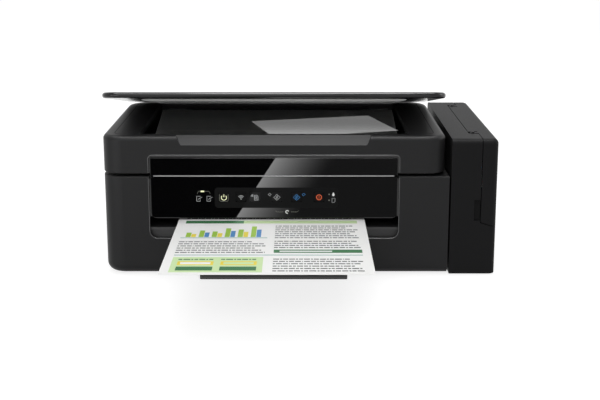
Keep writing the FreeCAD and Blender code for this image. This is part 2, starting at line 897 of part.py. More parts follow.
def make_scanner_case():
    outer = scanner_block("bed_outer", "0", "scanner_bottom", "bed_height")
    top = size("bed_height")
    round_edges(outer, "bed_edge", lambda point, along: level(along) and abs(point.z - top) < TOUCH)
    low = size("scanner_bottom")
    round_edges(outer, "seam_edge", lambda point, along: level(along) and abs(point.z - low) < TOUCH)
    inner = scanner_block("bed_inner", "case_wall", "scanner_bottom - overcut", "glass_top")
    hollow = cut("bed_hollow", outer, [inner])
    bar = box(
        "bed_bar",
        ("bed_centre - recess_width / 2 - recess_taper", "bed_centre + recess_width / 2 + recess_taper"),
        ("case_front + case_wall - fuse_lap", "case_front + recess_bar"),
        ("recess_bottom - case_wall", "glass_top"),
    )
    arms, arm_holes = scanner_arms()
    solid = joined("bed_solid", [hollow, bar] + arms)
    window = slab(
        "bed_window",
        "Z",
        ("bed_centre - window_width / 2", "bed_centre + window_width / 2"),
        ("case_front + window_front", "case_front + window_back"),
        ("glass_top - overcut", "bed_height + overcut"),
    )
    round_edges(window, "window_radius", lambda point, along: upright(along))
    mouth = slab(
        "bed_mouth",
        "Y",
        ("opening_left", "opening_right"),
        ("case_front - overcut", "wall_back + fuse_lap"),
        ("scanner_bottom - overcut", "opening_top"),
    )
    high = size("opening_top") - NEAR
    round_edges(mouth, "opening_top_radius", lambda point, along: abs(along.y) > 0.9 and point.z > high)
    slope = prism(
        "bed_scoop_slope",
        "X",
        [
            ("case_front - overcut", "recess_bottom"),
            ("case_front", "recess_bottom"),
            ("case_front + recess_depth", "bed_height + recess_past"),
            ("case_front - overcut", "bed_height + recess_past"),
        ],
        ("bed_centre - recess_width / 2 - overcut", "bed_centre + recess_width / 2 + overcut"),
    )
    ends = prism(
        "bed_scoop_ends",
        "Y",
        [
            ("bed_centre - recess_width / 2 + recess_taper", "recess_bottom - overcut"),
            ("bed_centre + recess_width / 2 - recess_taper", "recess_bottom - overcut"),
            ("bed_centre + recess_width / 2", "bed_height + recess_past"),
            ("bed_centre - recess_width / 2", "bed_height + recess_past"),
        ],
        ("case_front - overcut", "case_front + recess_depth + overcut"),
    )
    scoop = doc.addObject("Part::MultiCommon", "bed_scoop")
    scoop.Shapes = [slope, ends]
    sockets = []
    for number, sign in enumerate(("-", "+")):
        centre = f"bed_centre {sign} lid_hinge_place"
        sockets.append(
            box(
                f"bed_socket_{number}",
                (f"{centre} - lid_eye_half - slip", f"{centre} + lid_eye_half + slip"),
                ("lid_axis_y - lid_eye_radius - slip", "lid_axis_y + lid_eye_radius + slip"),
                ("glass_top - overcut", "bed_height + overcut"),
            )
        )
    node("scanner_case", cut("bed", solid, [window, mouth, scoop] + sockets + arm_holes))


def make_panel_header():
    face = slab(
        "header_face",
        "Y",
        ("panel_left", "panel_right"),
        ("panel_face", "panel_back"),
        ("header_bottom", "header_top"),
    )
    front = size("panel_face")
    round_edges(face, "panel_edge", lambda point, along: abs(point.y - front) < TOUCH)
    flange = box(
        "header_flange",
        ("opening_left - panel_flange", "opening_right + panel_flange"),
        ("wall_back", "panel_back"),
        ("scanner_bottom + slip", "opening_top + panel_flange"),
    )
    node("panel_header", joined("header", [face, flange]))


def make_scanner_tub():
    floor = scanner_block("tub_floor_plate", "case_wall + slip", "scanner_bottom", "tub_top")
    rim = scanner_block("tub_rim", "case_wall + slip", "scanner_bottom", "scanner_bottom + tub_height")
    hollow = scanner_block("tub_hollow", "case_wall + slip + tub_wall", "tub_top", "bed_height")
    walls = cut("tub_walls", rim, [hollow])
    room = box(
        "tub_header_room",
        ("opening_left - panel_flange - slip", "opening_right + panel_flange + slip"),
        ("case_front", "panel_back + slip"),
        ("scanner_bottom - overcut", "bed_height"),
    )
    posts = []
    for number, low in enumerate(("case_left + 2 * case_wall", "scanner_right - 2 * case_wall - scan_post")):
        posts.append(
            box(
                f"scan_post_{number}",
                (low, f"{low} + scan_post"),
                ("scan_rod_y - 2 * scan_rod_radius", "scan_rod_y + 2 * scan_rod_radius"),
                ("scanner_bottom", "scan_rod_level + 1.5 * scan_rod_radius"),
            )
        )
    bore = rod(
        "tub_rod_bore",
        "X",
        ("scan_rod_y", "scan_rod_level"),
        "scan_rod_radius + running",
        ("case_left + case_wall + slip + tub_wall", "scanner_right - case_wall - slip - tub_wall"),
    )
    node("scanner_tub", cut("tub", joined("tub_solid", [floor, walls] + posts), [room, bore]))


def make_scanner_inside():
    node(
        "scanner_glass",
        box(
            "glass",
            ("bed_centre - window_width / 2 - glass_margin", "bed_centre + window_width / 2 + glass_margin"),
            (
                "case_front + window_front - glass_margin + slip",
                "case_front + window_back + glass_margin - slip",
            ),
            ("glass_bottom", "glass_top"),
        ),
    )
    node(
        "scan_rod",
        rod(
            "scan_guide",
            "X",
            ("scan_rod_y", "scan_rod_level"),
            "scan_rod_radius",
            ("case_left + 2 * case_wall", "scanner_right - 2 * case_wall"),
        ),
    )
    wide = ("scan_head_left", "scan_head_left + scan_head_width")
    bar = box(
        "scan_bar",
        wide,
        ("case_front + window_front - scan_end", "case_front + window_back + scan_end"),
        ("scan_head_top - scan_head_height", "scan_head_top"),
    )
    shoe = box(
        "scan_shoe",
        wide,
        ("scan_rod_y - 2.5 * scan_rod_radius", "scan_rod_y + 2.5 * scan_rod_radius"),
        ("tub_top + slip", "scan_head_top - scan_head_height"),
    )
    lens = box(
        "scan_lens_slot",
        (
            f"{wide[0]} + scan_head_width / 2 - lens_half",
            f"{wide[0]} + scan_head_width / 2 + lens_half",
        ),
        ("case_front + window_front + lens_inset", "case_front + window_back - lens_inset"),
        ("scan_head_top - lens_depth", "scan_head_top + overcut"),
    )
    bore = rod(
        "scan_shoe_bore",
        "X",
        ("scan_rod_y", "scan_rod_level"),
        "scan_rod_radius + running",
        (f"{wide[0]} - overcut", f"{wide[1]} + overcut"),
    )
    node("scan_head", cut("scan_head_piece", joined("scan_head_solid", [bar, shoe]), [lens, bore]))


# Document lid, drawn about its hinge axis and then raised

def raise_lid(thing):
    """Turn a piece drawn about the hinge axis up to the lid's angle."""
    thing.Placement = FreeCAD.Placement(FreeCAD.Vector(), FreeCAD.Rotation(FreeCAD.Vector(-1, 0, 0), 1))
    thing.setExpression("Placement.Rotation.Angle", bind("lid_open * 1 deg"))
    return place(thing, "bed_centre", "lid_axis_y", "lid_axis_z")


def make_lid():
    plate = slab(
        "lid_plate",
        "Z",
        ("-lid_width_half", "lid_width_half"),
        ("-lid_length", "lid_half"),
        ("-lid_half", "lid_half"),
    )
    middle_y = -size("lid_length") / 2
    round_edges(plate, "corner_radius", lambda point, along: upright(along) and point.y < middle_y)
    round_edges(plate, "bed_rear_radius", lambda point, along: upright(along) and point.y > middle_y)
    round_edges(plate, "lid_edge", lambda point, along: level(along))
    tools = []
    for number, sign in enumerate(("-", "+")):
        centre = f"{sign}lid_hinge_place"
        half = "(lid_eye_half + slip)"
        reach = "(lid_eye_half + lid_pin_reach + slip)"
        tools.append(
            box(
                f"lid_notch_{number}",
                (f"{centre} - {half}", f"{centre} + {half}"),
                ("-lid_notch", "lid_thickness"),
                ("-lid_thickness", "lid_thickness"),
            )
        )
        tools.append(
            rod(
                f"lid_bore_{number}",
                "X",
                ("0", "0"),
                "lid_pin + running",
                (f"{centre} - {reach}", f"{centre} + {reach}"),
            )
        )
    node("document_lid", raise_lid(cut("lid", plate, tools)))
    mat = slab(
        "lid_pad",
        "Z",
        ("mat_margin - window_width / 2", "window_width / 2 - mat_margin"),
        (
            "case_front + window_front + mat_margin - lid_axis_y",
            "case_front + window_back - mat_margin - lid_axis_y",
        ),
        ("-lid_half - mat_thickness", "-lid_half"),
    )
    node("lid_mat", raise_lid(group("mat", [mat])))


def make_lid_hinges():
    hinges = []
    for number, sign in enumerate(("-", "+")):
        centre = f"bed_centre {sign} lid_hinge_place"
        wide = (f"{centre} - lid_eye_half", f"{centre} + lid_eye_half")
        spot = ("lid_axis_y", "lid_axis_z")
        post = box(
            f"hinge_post_{number}",
            wide,
            ("lid_axis_y - lid_eye_radius", "lid_axis_y + lid_eye_radius"),
            ("bed_height - lid_post_depth", "lid_axis_z"),
        )
        eye = rod(f"hinge_eye_{number}", "X", spot, "lid_eye_radius", wide)
        pin = rod(
            f"hinge_pin_{number}",
            "X",
            spot,
            "lid_pin",
            (f"{wide[0]} - lid_pin_reach", f"{wide[1]} + lid_pin_reach"),
        )
        hinges.append(joined(f"hinge_{number}", [post, eye, pin]))
    node("lid_hinges", group("hinges", hinges))


# Ink tank unit

INKS = ["black", "cyan", "magenta", "yellow"]


def tank_start(colour):
    """How far a tank starts behind the front of the case."""
    index = INKS.index(colour)
    if index == 0:
        return "ink_start"
    return f"ink_start + ink_black_length + ink_gap + {index - 1} * (ink_length + ink_gap)"


def tank_end(colour):
    """How far a tank ends behind the front of the case."""
    length = "ink_black_length" if colour == "black" else "ink_length"
    return f"{tank_start(colour)} + {length}"


def tank_middle(colour):
    """The middle of a tank behind the front of the case."""
    return f"({tank_start(colour)} + {tank_end(colour)}) / 2"


def tube_level(colour):
    """The height at which a tank's tube leaves it, each one above the last."""
    return f"tube_height + {INKS.index(colour)} * tube_spacing"


def tank_block(name, inset, bottom, top):
    """The outline of the ink tank unit drawn in by an inset."""
    block = slab(
        name,
        "Z",
        (f"tank_left + ({inset})", f"case_right - ({inset})"),
        (f"case_front + ({inset})", f"tank_back - ({inset})"),
        (bottom, top),
    )
    middle_x = size("(tank_left + case_right) / 2")
    round_edges(
        block,
        f"tank_corner - ({inset})",
        lambda point, along: upright(along) and point.x > middle_x,
    )
    return block


def tank_shell(name):
    """The closed shell that the housing and its cover are both cut from."""
    outer = tank_block(f"{name}_outer", "0", "case_bottom", "tank_height")
    top = size("tank_height")
    left = size("tank_left")
    round_edges(
        outer,
        "tank_edge",
        lambda point, along: abs(point.z - top) < TOUCH and point.x > left + NEAR,
    )
    inner = tank_block(f"{name}_inner", "case_wall", "floor_top", "tank_height - case_wall")
    return cut(f"{name}_shell", outer, [inner])


def cover_regions(name, gap):
    """The space that the cover takes up, grown by a gap: a side prism and a strip between the knuckles."""
    low = f"cover_low - ({gap})"
    edge = f"cover_edge - ({gap})"
    right = "case_right + overcut"
    top = "tank_height + overcut"
    outline = [
        (edge, f"{low} + cover_slant"),
        (right, low),
        (right, top),
        (edge, top),
    ]
    whole = prism(f"{name}_whole", "Y", outline, ("case_front - overcut", f"tank_back - case_wall + ({gap})"))
    strip = box(
        f"{name}_strip",
        (f"cover_top_edge - ({gap})", "cover_edge + overcut"),
        (
            f"case_front + knuckle_front + cover_knuckle_length / 2 + cover_ear + 2 * slip - ({gap})",
            f"case_front + knuckle_back - cover_knuckle_length / 2 - cover_ear - 2 * slip + ({gap})",
        ),
        ("tank_height - 2 * case_wall", top),
    )
    return joined(f"{name}_region", [whole, strip])


def make_tank_housing():
    shell = tank_shell("housing")
    knuckles = []
    pads = []
    for number, back in enumerate(("knuckle_front", "knuckle_back")):
        centre = f"case_front + {back}"
        inner = "(cover_knuckle_length / 2 + slip)"
        outer = "(cover_knuckle_length / 2 + slip + cover_ear)"
        wide = ("cover_top_edge - 3 * case_wall", "cover_axis_x + cover_pin + cover_ear_past")
        high = ("tank_height - 4 * case_wall", "cover_axis_z + cover_pin + slip")
        for side, span in (
            ("near", (f"{centre} - {outer}", f"{centre} - {inner}")),
            ("far", (f"{centre} + {inner}", f"{centre} + {outer}")),
        ):
            knuckles.append(box(f"tank_ear_{side}_{number}", wide, span, high))
        knuckles.append(
            rod(
                f"tank_pin_{number}",
                "Y",
                ("cover_axis_x", "cover_axis_z"),
                "cover_pin",
                (f"{centre} - {outer}", f"{centre} + {outer}"),
            )
        )
    for number, back in enumerate(("knuckle_front", "knuckle_back")):
        spot = (f"case_front + {back}", "seam_height - pad_drop")
        span = ("lower_right", "tank_left + fuse_lap")
        pads.append(rod(f"tank_pad_{number}", "X", spot, "pad_radius", span))
    knuckle_room = [
        box(
            f"housing_knuckle_room_{number}",
            ("cover_top_edge - cover_gap", "case_right"),
            (
                f"case_front + {back} - cover_knuckle_length / 2 - cover_ear - 2 * slip",
                f"case_front + {back} + cover_knuckle_length / 2 + cover_ear + 2 * slip",
            ),
            ("tank_height - 2 * case_wall", "tank_height + overcut"),
        )
        for number, back in enumerate(("knuckle_front", "knuckle_back"))
    ]
    notch = box(
        "housing_notch",
        ("cover_edge - cover_gap - notch_width", "cover_edge"),
        ("case_front - overcut", "case_front + notch_depth"),
        ("notch_bottom", "notch_bottom + notch_height"),
    )
    body = cut("housing_body", shell, [cover_regions("housing_cover", "cover_gap"), notch] + knuckle_room)
    drilled = cut("housing_drilled", body, tube_holes("housing_tube_hole", "tube_radius + slip"))
    node("tank_housing", joined("housing", [drilled] + knuckles + pads))


def make_tank_cover():
    shell = tank_shell("cover")
    inside = doc.addObject("Part::Common", "cover_blank")
    inside.Base = shell
    inside.Tool = cover_regions("cover_self", "0")
    webs = []
    holes = []
    for number, back in enumerate(("knuckle_front", "knuckle_back")):
        centre = f"case_front + {back}"
        span = (f"{centre} - cover_knuckle_length / 2", f"{centre} + cover_knuckle_length / 2")
        spot = ("cover_axis_x", "cover_axis_z")
        webs.append(
            box(
                f"cover_web_{number}",
                ("cover_axis_x", "cover_edge + cover_lap"),
                span,
                ("cover_axis_z - cover_pin", "tank_height"),
            )
        )
        webs.append(rod(f"cover_eye_{number}", "Y", spot, "cover_knuckle", span))
        holes.append(
            rod(
                f"cover_hole_{number}",
                "Y",
                spot,
                "cover_pin + running",
                (f"{span[0]} - overcut", f"{span[1]} + overcut"),
            )
        )
    node("tank_cover", cut("cover", joined("cover_solid", [inside] + webs), holes))


def make_ink():
    caps = []
    for colour in INKS:
        wide = ("tank_left + case_wall + ink_inset", "case_right - case_wall - ink_inset")
        deep = (f"case_front + {tank_start(colour)}", f"case_front + {tank_end(colour)}")
        tank = slab(f"ink_{colour}", "Z", wide, deep, ("floor_top", "floor_top + ink_height"))
        round_edges(tank, "ink_inset", lambda point, along: upright(along))
        node(f"tank_{colour}", tank)
        caps.append(
            rod(
                f"cap_{colour}",
                "Z",
                (f"({wide[0]} + {wide[1]}) / 2", f"case_front + {tank_middle(colour)}"),
                "cap_radius",
                ("floor_top + ink_height", "floor_top + ink_height + cap_height"),
            )
        )
    node("tank_caps", group("caps", caps))


def tube_path(colour):
    """A run out of the tank, a bend and a run towards the rear, as one wire."""
    run_x = size("lower_right - tube_clear")
    start_x = size("tank_left + case_wall + ink_inset")
    tube_y = size(f"case_front + {tank_middle(colour)}")
    tube_z = size(tube_level(colour))
    bend = size("tube_bend")
    end_y = size("case_front + tube_end")
    chord = bend * (1 - math.sqrt(0.5))
    points = [
        FreeCAD.Vector(start_x, tube_y, tube_z),
        FreeCAD.Vector(run_x + bend, tube_y, tube_z),
        FreeCAD.Vector(run_x + chord, tube_y + chord, tube_z),
        FreeCAD.Vector(run_x, tube_y + bend, tube_z),
        FreeCAD.Vector(run_x, end_y, tube_z),
    ]
    first = Part.LineSegment(points[0], points[1]).toShape()
    turn = Part.Arc(points[1], points[2], points[3]).toShape()
    last = Part.LineSegment(points[3], points[4]).toShape()
    return Part.Wire([first, turn, last])


def make_ink_tubes():
    tubes = []
    for colour in INKS:
        path = tube_path(colour)
        start = path.Vertexes[0].Point
        ring = Part.Wire(Part.Circle(start, FreeCAD.Vector(-1, 0, 0), size("tube_radius")).toShape())
        tube = doc.addObject("Part::Feature", f"tube_{colour}")
        tube.Shape = path.makePipeShell([ring], True, False)
        tubes.append(tube)
    block = box(
        "tube_joint",
        ("lower_right - tube_clear - tube_block / 2", "lower_right - tube_clear + tube_block / 2"),
        ("case_front + tube_end", "case_front + tube_end + tube_block"),
        ("pan_top", f"{tube_level(INKS[-1])} + 2 * tube_radius"),
    )
    node("ink_tubes", group("tubes", tubes + [block]))


# Output tray, its deck and the sheet

def channel(name, half, inner_half, deep, floor, thickness, top):
    """A floor with a rail along each side."""
    low = f"tray_centre - ({half})"
    high = f"tray_centre + ({half})"
    plate = box(f"{name}_floor", (low, high), deep, (floor, f"{floor} + {thickness}"))
    rails = [
        box(f"{name}_rail_left", (low, f"tray_centre - ({inner_half})"), deep, (floor, top)),
        box(f"{name}_rail_right", (f"tray_centre + ({inner_half})", high), deep, (floor, top)),
    ]
    return [plate] + rails


def make_tray():
    deep = ("case_front + case_wall + slip", "case_front + deck_back")
    wide = ("opening_left - panel_flange", "opening_right + panel_flange")
    deck = channel(
        "deck",
        "guide_half",
        "outer_half + slip",
        deep,
        "deck_bottom",
        "deck_plate",
        "tray_top - slip",
    )
    deck.append(box("deck_wide", wide, deep, ("deck_bottom", "deck_top")))
    deck.append(
        box(
            "deck_apron_plate",
            wide,
            (f"{deep[0]} + deck_apron", f"{deep[0]} + 2 * deck_apron"),
            ("opening_bottom - deck_apron", "deck_top"),
        )
    )
    for number, sign in enumerate(("-", "+")):
        centre = f"tray_centre {sign} guide_half"
        deck.append(
            box(
                f"deck_leg_{number}",
                (f"{centre} - deck_leg", f"{centre} + deck_leg"),
                ("case_front + 2 * pan_inset", "case_front + deck_back"),
                ("pan_top", "deck_top"),
            )
        )
    node("tray_deck", joined("deck", deck))
    stages = [
        ("output_tray", "outer_half", "mid_half + slip", 1, "outer_bottom"),
        ("tray_extension", "mid_half", "tip_width / 2 + slip", 2, "mid_bottom"),
    ]
    for name, half, inner_half, step, floor in stages:
        front = f"case_front - {step} * tray_step"
        span = (front, f"{front} + tray_step + tray_lap")
        pieces = channel(f"{name}_part", half, inner_half, span, floor, "tray_floor", "tray_top")
        node(name, joined(f"{name}_piece", pieces))
    front = "case_front - tray_reach"
    tip = slab(
        "tip_plate",
        "Z",
        ("tray_centre - tip_width / 2", "tray_centre + tip_width / 2"),
        (front, "case_front - 2 * tray_step + tray_lap"),
        ("tip_bottom", "tip_bottom + tip_thickness"),
    )
    front_y = size(front)
    round_edges(tip, "tip_lip", lambda point, along: upright(along) and point.y < front_y + NEAR)
    node("tray_tip", tip)
    node(
        "printed_sheet",
        box(
            "sheet",
            ("paper_centre - paper_width / 2", "paper_centre + paper_width / 2"),
            ("sheet_front", "sheet_front + paper_length"),
            ("paper_level", "paper_level + paper_thickness"),
        ),
    )


# Print mechanism

def shaft_holes(name, radius, places):
    """Holes along X through the side plates of the frame."""
    span = ("frame_left - overcut", "frame_right + overcut")
    return [rod(f"{name}_{number}", "X", spot, radius, span) for number, spot in enumerate(places)]


def make_main_frame():
    deep = ("case_front + frame_front", "frame_rear + frame_sheet")
    high = ("pan_top", "frame_top")
    left = box("frame_left_plate", ("frame_left", "frame_left + frame_sheet"), deep, high)
    right = box("frame_right_plate", ("frame_right - frame_sheet", "frame_right"), deep, high)
    back = box(
        "frame_back_plate",
        ("frame_left", "frame_right"),
        ("frame_rear", "frame_rear + frame_sheet"),
        ("frame_paper_gap", "frame_top"),
    )
    tools = shaft_holes("frame_bush_hole", "bush_radius", [("feed_y", "roller_z"), ("exit_y", "roller_z")])
    tools += shaft_holes("frame_rod_hole", "rod_radius", [("rod_y", "rod_level")])
    motor_spot = ("pinion_y", "pinion_z")
    plate_span = ("frame_left - overcut", "frame_left + 2 * frame_sheet")
    tools.append(rod("frame_motor_hole", "X", motor_spot, "3 * motor_shaft", plate_span))
    tools.append(
        rod(
            "frame_drive_hole",
            "Y",
            ("drive_x", "rod_level"),
            "3 * motor_shaft",
            ("frame_rear - overcut", "frame_rear + 2 * frame_sheet"),
        )
    )
    sheet_metal = cut("frame_sheet_metal", joined("frame_blank", [left, right, back]), tools)
    gear_stud = rod(
        "frame_gear_stud",
        "X",
        ("idler_y", "roller_z"),
        "shaft_radius",
        ("gear_left - stud_past", "frame_left + frame_sheet"),
    )
    belt_stud = rod(
        "frame_belt_stud",
        "Y",
        ("idler_x", "rod_level"),
        "stud_radius",
        ("belt_y - pulley_width / 2 - stud_past", "frame_rear + frame_sheet"),
    )
    node("main_frame", joined("frame", [sheet_metal, gear_stud, belt_stud]))


def make_bushes():
    bushes = []
    for number, spot in enumerate((("feed_y", "roller_z"), ("exit_y", "roller_z"))):
        for side, span in (
            ("left", ("frame_left", "frame_left + bush_width")),
            ("right", ("frame_right - bush_width", "frame_right")),
        ):
            name = f"bush_{side}_{number}"
            ring = rod(f"{name}_ring", "X", spot, "bush_radius", span)
            through = (f"{span[0]} - overcut", f"{span[1]} + overcut")
            bore = rod(f"{name}_bore", "X", spot, "shaft_radius + running", through)
            bushes.append(cut(name, ring, [bore]))
    node("shaft_bushes", group("bushes", bushes))


def platen_span():
    """How far the rollers and the platen reach past both edges of the sheet."""
    half = "paper_width / 2 + platen_margin"
    return (f"paper_centre - ({half})", f"paper_centre + {half}")


def make_rollers():
    sleeve = platen_span()
    ends = ("gear_left - stud_past", "frame_right + shaft_past")
    for name, spot in (("feed_roller", ("feed_y", "roller_z")), ("exit_roller", ("exit_y", "roller_z"))):
        shaft = rod(f"{name}_shaft", "X", spot, "shaft_radius", ends)
        grip = rod(f"{name}_grip", "X", spot, "roller_radius", sleeve)
        node(name, joined(f"{name}_piece", [shaft, grip]))


def involute(angle):
    """The involute function of an angle in radians."""
    return math.tan(angle) - angle


def gear_outline(teeth, phase):
    """A closed ring of points for a spur gear with involute flanks, tooth zero at the phase angle."""
    module = size("gear_module")
    pressure = math.radians(20)
    addendum, dedendum, backlash = 0.85 * module, 1.25 * module, 0.2 * module
    pitch_radius = teeth * module / 2
    base_radius = pitch_radius * math.cos(pressure)
    root_radius = pitch_radius - dedendum
    tip_radius = pitch_radius + addendum
    half_pitch = math.pi / (2 * teeth) - backlash / (2 * pitch_radius)
    low_radius = max(base_radius, root_radius + 0.05 * module)
    steps = 4
    flank = []
    for step in range(steps + 1):
        radius = low_radius + (tip_radius - low_radius) * step / steps
        turn = half_pitch + involute(pressure) - involute(math.acos(min(1.0, base_radius / radius)))
        flank.append((radius, turn))
    flank.insert(0, (root_radius, flank[0][1]))
    ring = []
    for tooth in range(teeth):
        middle = phase + 2 * math.pi * tooth / teeth
        ring += [(radius, middle - turn) for radius, turn in flank]
        ring += [(radius, middle + turn) for radius, turn in reversed(flank)]
    return [(radius * math.cos(angle), radius * math.sin(angle)) for radius, angle in ring]


def make_gear(name, teeth, phase, spot, bore):
    """A spur gear across X at a place, with a bore."""
    middle_y, middle_z = size(spot[0]), size(spot[1])
    left = size("gear_left")
    ring = [FreeCAD.Vector(left, middle_y + u, middle_z + v) for u, v in gear_outline(teeth, phase)]
    face = Part.Face(Part.makePolygon(ring + ring[:1]))
    disc = face.extrude(FreeCAD.Vector(size("gear_width"), 0, 0))
    hole = Part.makeCylinder(
        size(bore),
        size("gear_width + 2 * overcut"),
        FreeCAD.Vector(left - size("overcut"), middle_y, middle_z),
        FreeCAD.Vector(1, 0, 0),
    )
    wheel = doc.addObject("Part::Feature", name + "_wheel")
    wheel.Shape = disc.cut(hole)
    node(name, wheel)


def make_gears():
    feed, idler, pinion = (int(size(name)) for name in ("feed_teeth", "idler_teeth", "pinion_teeth"))
    make_gear("feed_gear", feed, 0, ("feed_y", "roller_z"), "shaft_radius")
    make_gear("idler_gear", idler, math.pi / idler, ("idler_y", "roller_z"), "shaft_radius + running")
    make_gear("exit_gear", feed, 0, ("exit_y", "roller_z"), "shaft_radius")
    make_gear("motor_pinion", pinion, math.pi / pinion, ("pinion_y", "pinion_z"), "motor_shaft + running")


def make_motors():
    feed_spot = ("pinion_y", "pinion_z")
    can = rod(
        "feed_can",
        "X",
        feed_spot,
        "motor_radius",
        ("frame_left + frame_sheet", "frame_left + frame_sheet + motor_length"),
    )
    shaft = rod("feed_shaft", "X", feed_spot, "motor_shaft", ("gear_left", "frame_left + 2 * frame_sheet"))
    node("feed_motor", joined("feed_motor_piece", [can, shaft]))
    belt_spot = ("drive_x", "rod_level")
    back = "frame_rear + frame_sheet"
    can = rod("drive_can", "Y", belt_spot, "drive_motor_radius", (back, f"{back} + motor_length"))
    span = ("belt_y - pulley_width / 2", f"{back} + fuse_lap")
    shaft = rod("drive_shaft", "Y", belt_spot, "motor_shaft", span)
    node("carriage_motor", joined("carriage_motor_piece", [can, shaft]))


def make_belt():
    level_z = "rod_level"
    span = ("belt_y - belt_width / 2", "belt_y + belt_width / 2")
    loops = []
    sides = (("belt_out", "pulley_radius + slip + belt_thickness"), ("belt_in", "pulley_radius + slip"))
    for name, radius in sides:
        high = (f"{level_z} - ({radius})", f"{level_z} + {radius}")
        loops.append(
            joined(
                name,
                [
                    rod(f"{name}_drive", "Y", ("drive_x", level_z), radius, span),
                    rod(f"{name}_idler", "Y", ("idler_x", level_z), radius, span),
                    box(f"{name}_run", ("idler_x", "drive_x"), span, high),
                ],
            )
        )
    node("carriage_belt", cut("belt", loops[0], [loops[1]]))
    for name, centre, bore in (
        ("drive_pulley", "drive_x", "motor_shaft + running"),
        ("idler_pulley", "idler_x", "stud_radius + running"),
    ):
        spot = (centre, level_z)
        ends = ("belt_y - pulley_width / 2", "belt_y + pulley_width / 2")
        rim = "(pulley_width - belt_width) / 2 - slip"
        hub = rod(f"{name}_hub", "Y", spot, "pulley_radius", ends)
        near = rod(f"{name}_near", "Y", spot, "pulley_flange", (ends[0], f"{ends[0]} + {rim}"))
        far = rod(f"{name}_far", "Y", spot, "pulley_flange", (f"{ends[1]} - ({rim})", ends[1]))
        hole = rod(f"{name}_hole", "Y", spot, bore, (f"{ends[0]} - overcut", f"{ends[1]} + overcut"))
        node(name, cut(f"{name}_piece", joined(f"{name}_blank", [hub, near, far]), [hole]))


def make_carriage():
    guide = rod("guide_rod", "X", ("rod_y", "rod_level"), "rod_radius", ("frame_left", "frame_right"))
    node("carriage_rod", guide)
    wide = ("park_left", "park_right")
    block = slab(
        "carriage_block",
        "Z",
        wide,
        ("case_front + carriage_front", "case_front + carriage_back"),
        ("carriage_bottom", "carriage_top"),
    )
    middle = size("case_front + (carriage_front + carriage_back) / 2")
    round_edges(block, "rod_radius", lambda point, along: upright(along) and point.y < middle)
    bay = box(
        "carriage_bay",
        (f"{wide[0]} + rod_radius", f"{wide[1]} - rod_radius"),
        ("case_front + carriage_front + rod_radius", "rod_y - 3 * rod_radius"),
        ("carriage_bottom + 2 * rod_radius", "carriage_top + overcut"),
    )
    bore = rod(
        "carriage_bore",
        "X",
        ("rod_y", "rod_level"),
        "rod_radius + running",
        (f"{wide[0]} - overcut", f"{wide[1]} + overcut"),
    )
    run_low = "rod_level - pulley_radius - slip - belt_thickness"
    clamp = box(
        "carriage_clamp",
        ("carriage_home - clamp_half", "carriage_home + clamp_half"),
        ("case_front + carriage_back - fuse_lap", "belt_y + belt_width / 2"),
        (f"{run_low} - clamp_grip", f"{run_low} + belt_thickness + clamp_grip"),
    )
    slit = box(
        "carriage_slit",
        ("carriage_home - clamp_half - overcut", "carriage_home + clamp_half + overcut"),
        ("belt_y - belt_width / 2 - slip", "belt_y + belt_width"),
        (f"{run_low} - slip", f"{run_low} + belt_thickness + slip"),
    )
    node("print_carriage", cut("carriage", joined("carriage_solid", [block, clamp]), [bay, bore, slit]))
    node(
        "print_head",
        box(
            "head",
            ("carriage_home - head_width / 2", "carriage_home + head_width / 2"),
            ("case_front + head_front", "case_front + head_back"),
            ("head_bottom", "carriage_bottom"),
        ),
    )


def make_platen():
    wide = platen_span()
    deep = ("case_front + platen_front", "case_front + platen_back")
    rib_top = "tray_top"
    base_top = "tray_top - platen_rib"
    pieces = [box("platen_plate", wide, deep, (f"{base_top} - platen_base", base_top))]
    count = int(size("(paper_width + 2 * platen_margin - platen_rib) / platen_rib_pitch"))
    for index in range(count + 1):
        low = f"{wide[0]} + {index} * platen_rib_pitch"
        pieces.append(box(f"platen_rib_{index}", (low, f"{low} + platen_rib"), deep, (base_top, rib_top)))
    for number, sign in enumerate(("-", "+")):
        centre = f"paper_centre {sign} paper_width / 2"
        pieces.append(
            box(
                f"platen_leg_{number}",
                (f"{centre} - platen_base", f"{centre} + platen_base"),
                (f"{deep[0]} + 2 * platen_base", f"{deep[1]} - 2 * platen_base"),
                ("pan_top", base_top),
            )
        )
    node("platen", joined("platen_piece", pieces))


def make_capping_station():
    wide = (
        f"{platen_span()[1]} + slip",
        "frame_right - frame_sheet - slip",
    )
    deep = ("case_front + platen_front", "case_front + platen_back")
    top = "head_bottom - cap_gap"
    block = box("station_block", wide, deep, ("pan_top", f"{top} - 2 * platen_rib"))
    well = box(
        "station_well",
        (f"{wide[0]} + platen_base", f"{wide[1]} - platen_base"),
        (f"{deep[0]} + platen_base", f"{deep[1]} - platen_base"),
        ("pan_top + platen_base", f"{top} - 3 * platen_rib"),
    )
    cap = box(
        "station_cap",
        ("carriage_home - head_width / 2 + platen_rib", "carriage_home + head_width / 2 - platen_rib"),
        ("case_front + head_front + platen_rib", "case_front + head_back - platen_rib"),
        (f"{top} - 2 * platen_rib", top),
    )
    dish = box(
        "station_dish",
        (
            "carriage_home - head_width / 2 + 2 * platen_rib",
            "carriage_home + head_width / 2 - 2 * platen_rib",
        ),
        ("case_front + head_front + 2 * platen_rib", "case_front + head_back - 2 * platen_rib"),
        (f"{top} - platen_rib", f"{top} + overcut"),
    )
    node("capping_station", cut("station", joined("station_solid", [block, cap]), [well, dish]))


# Rear feeder

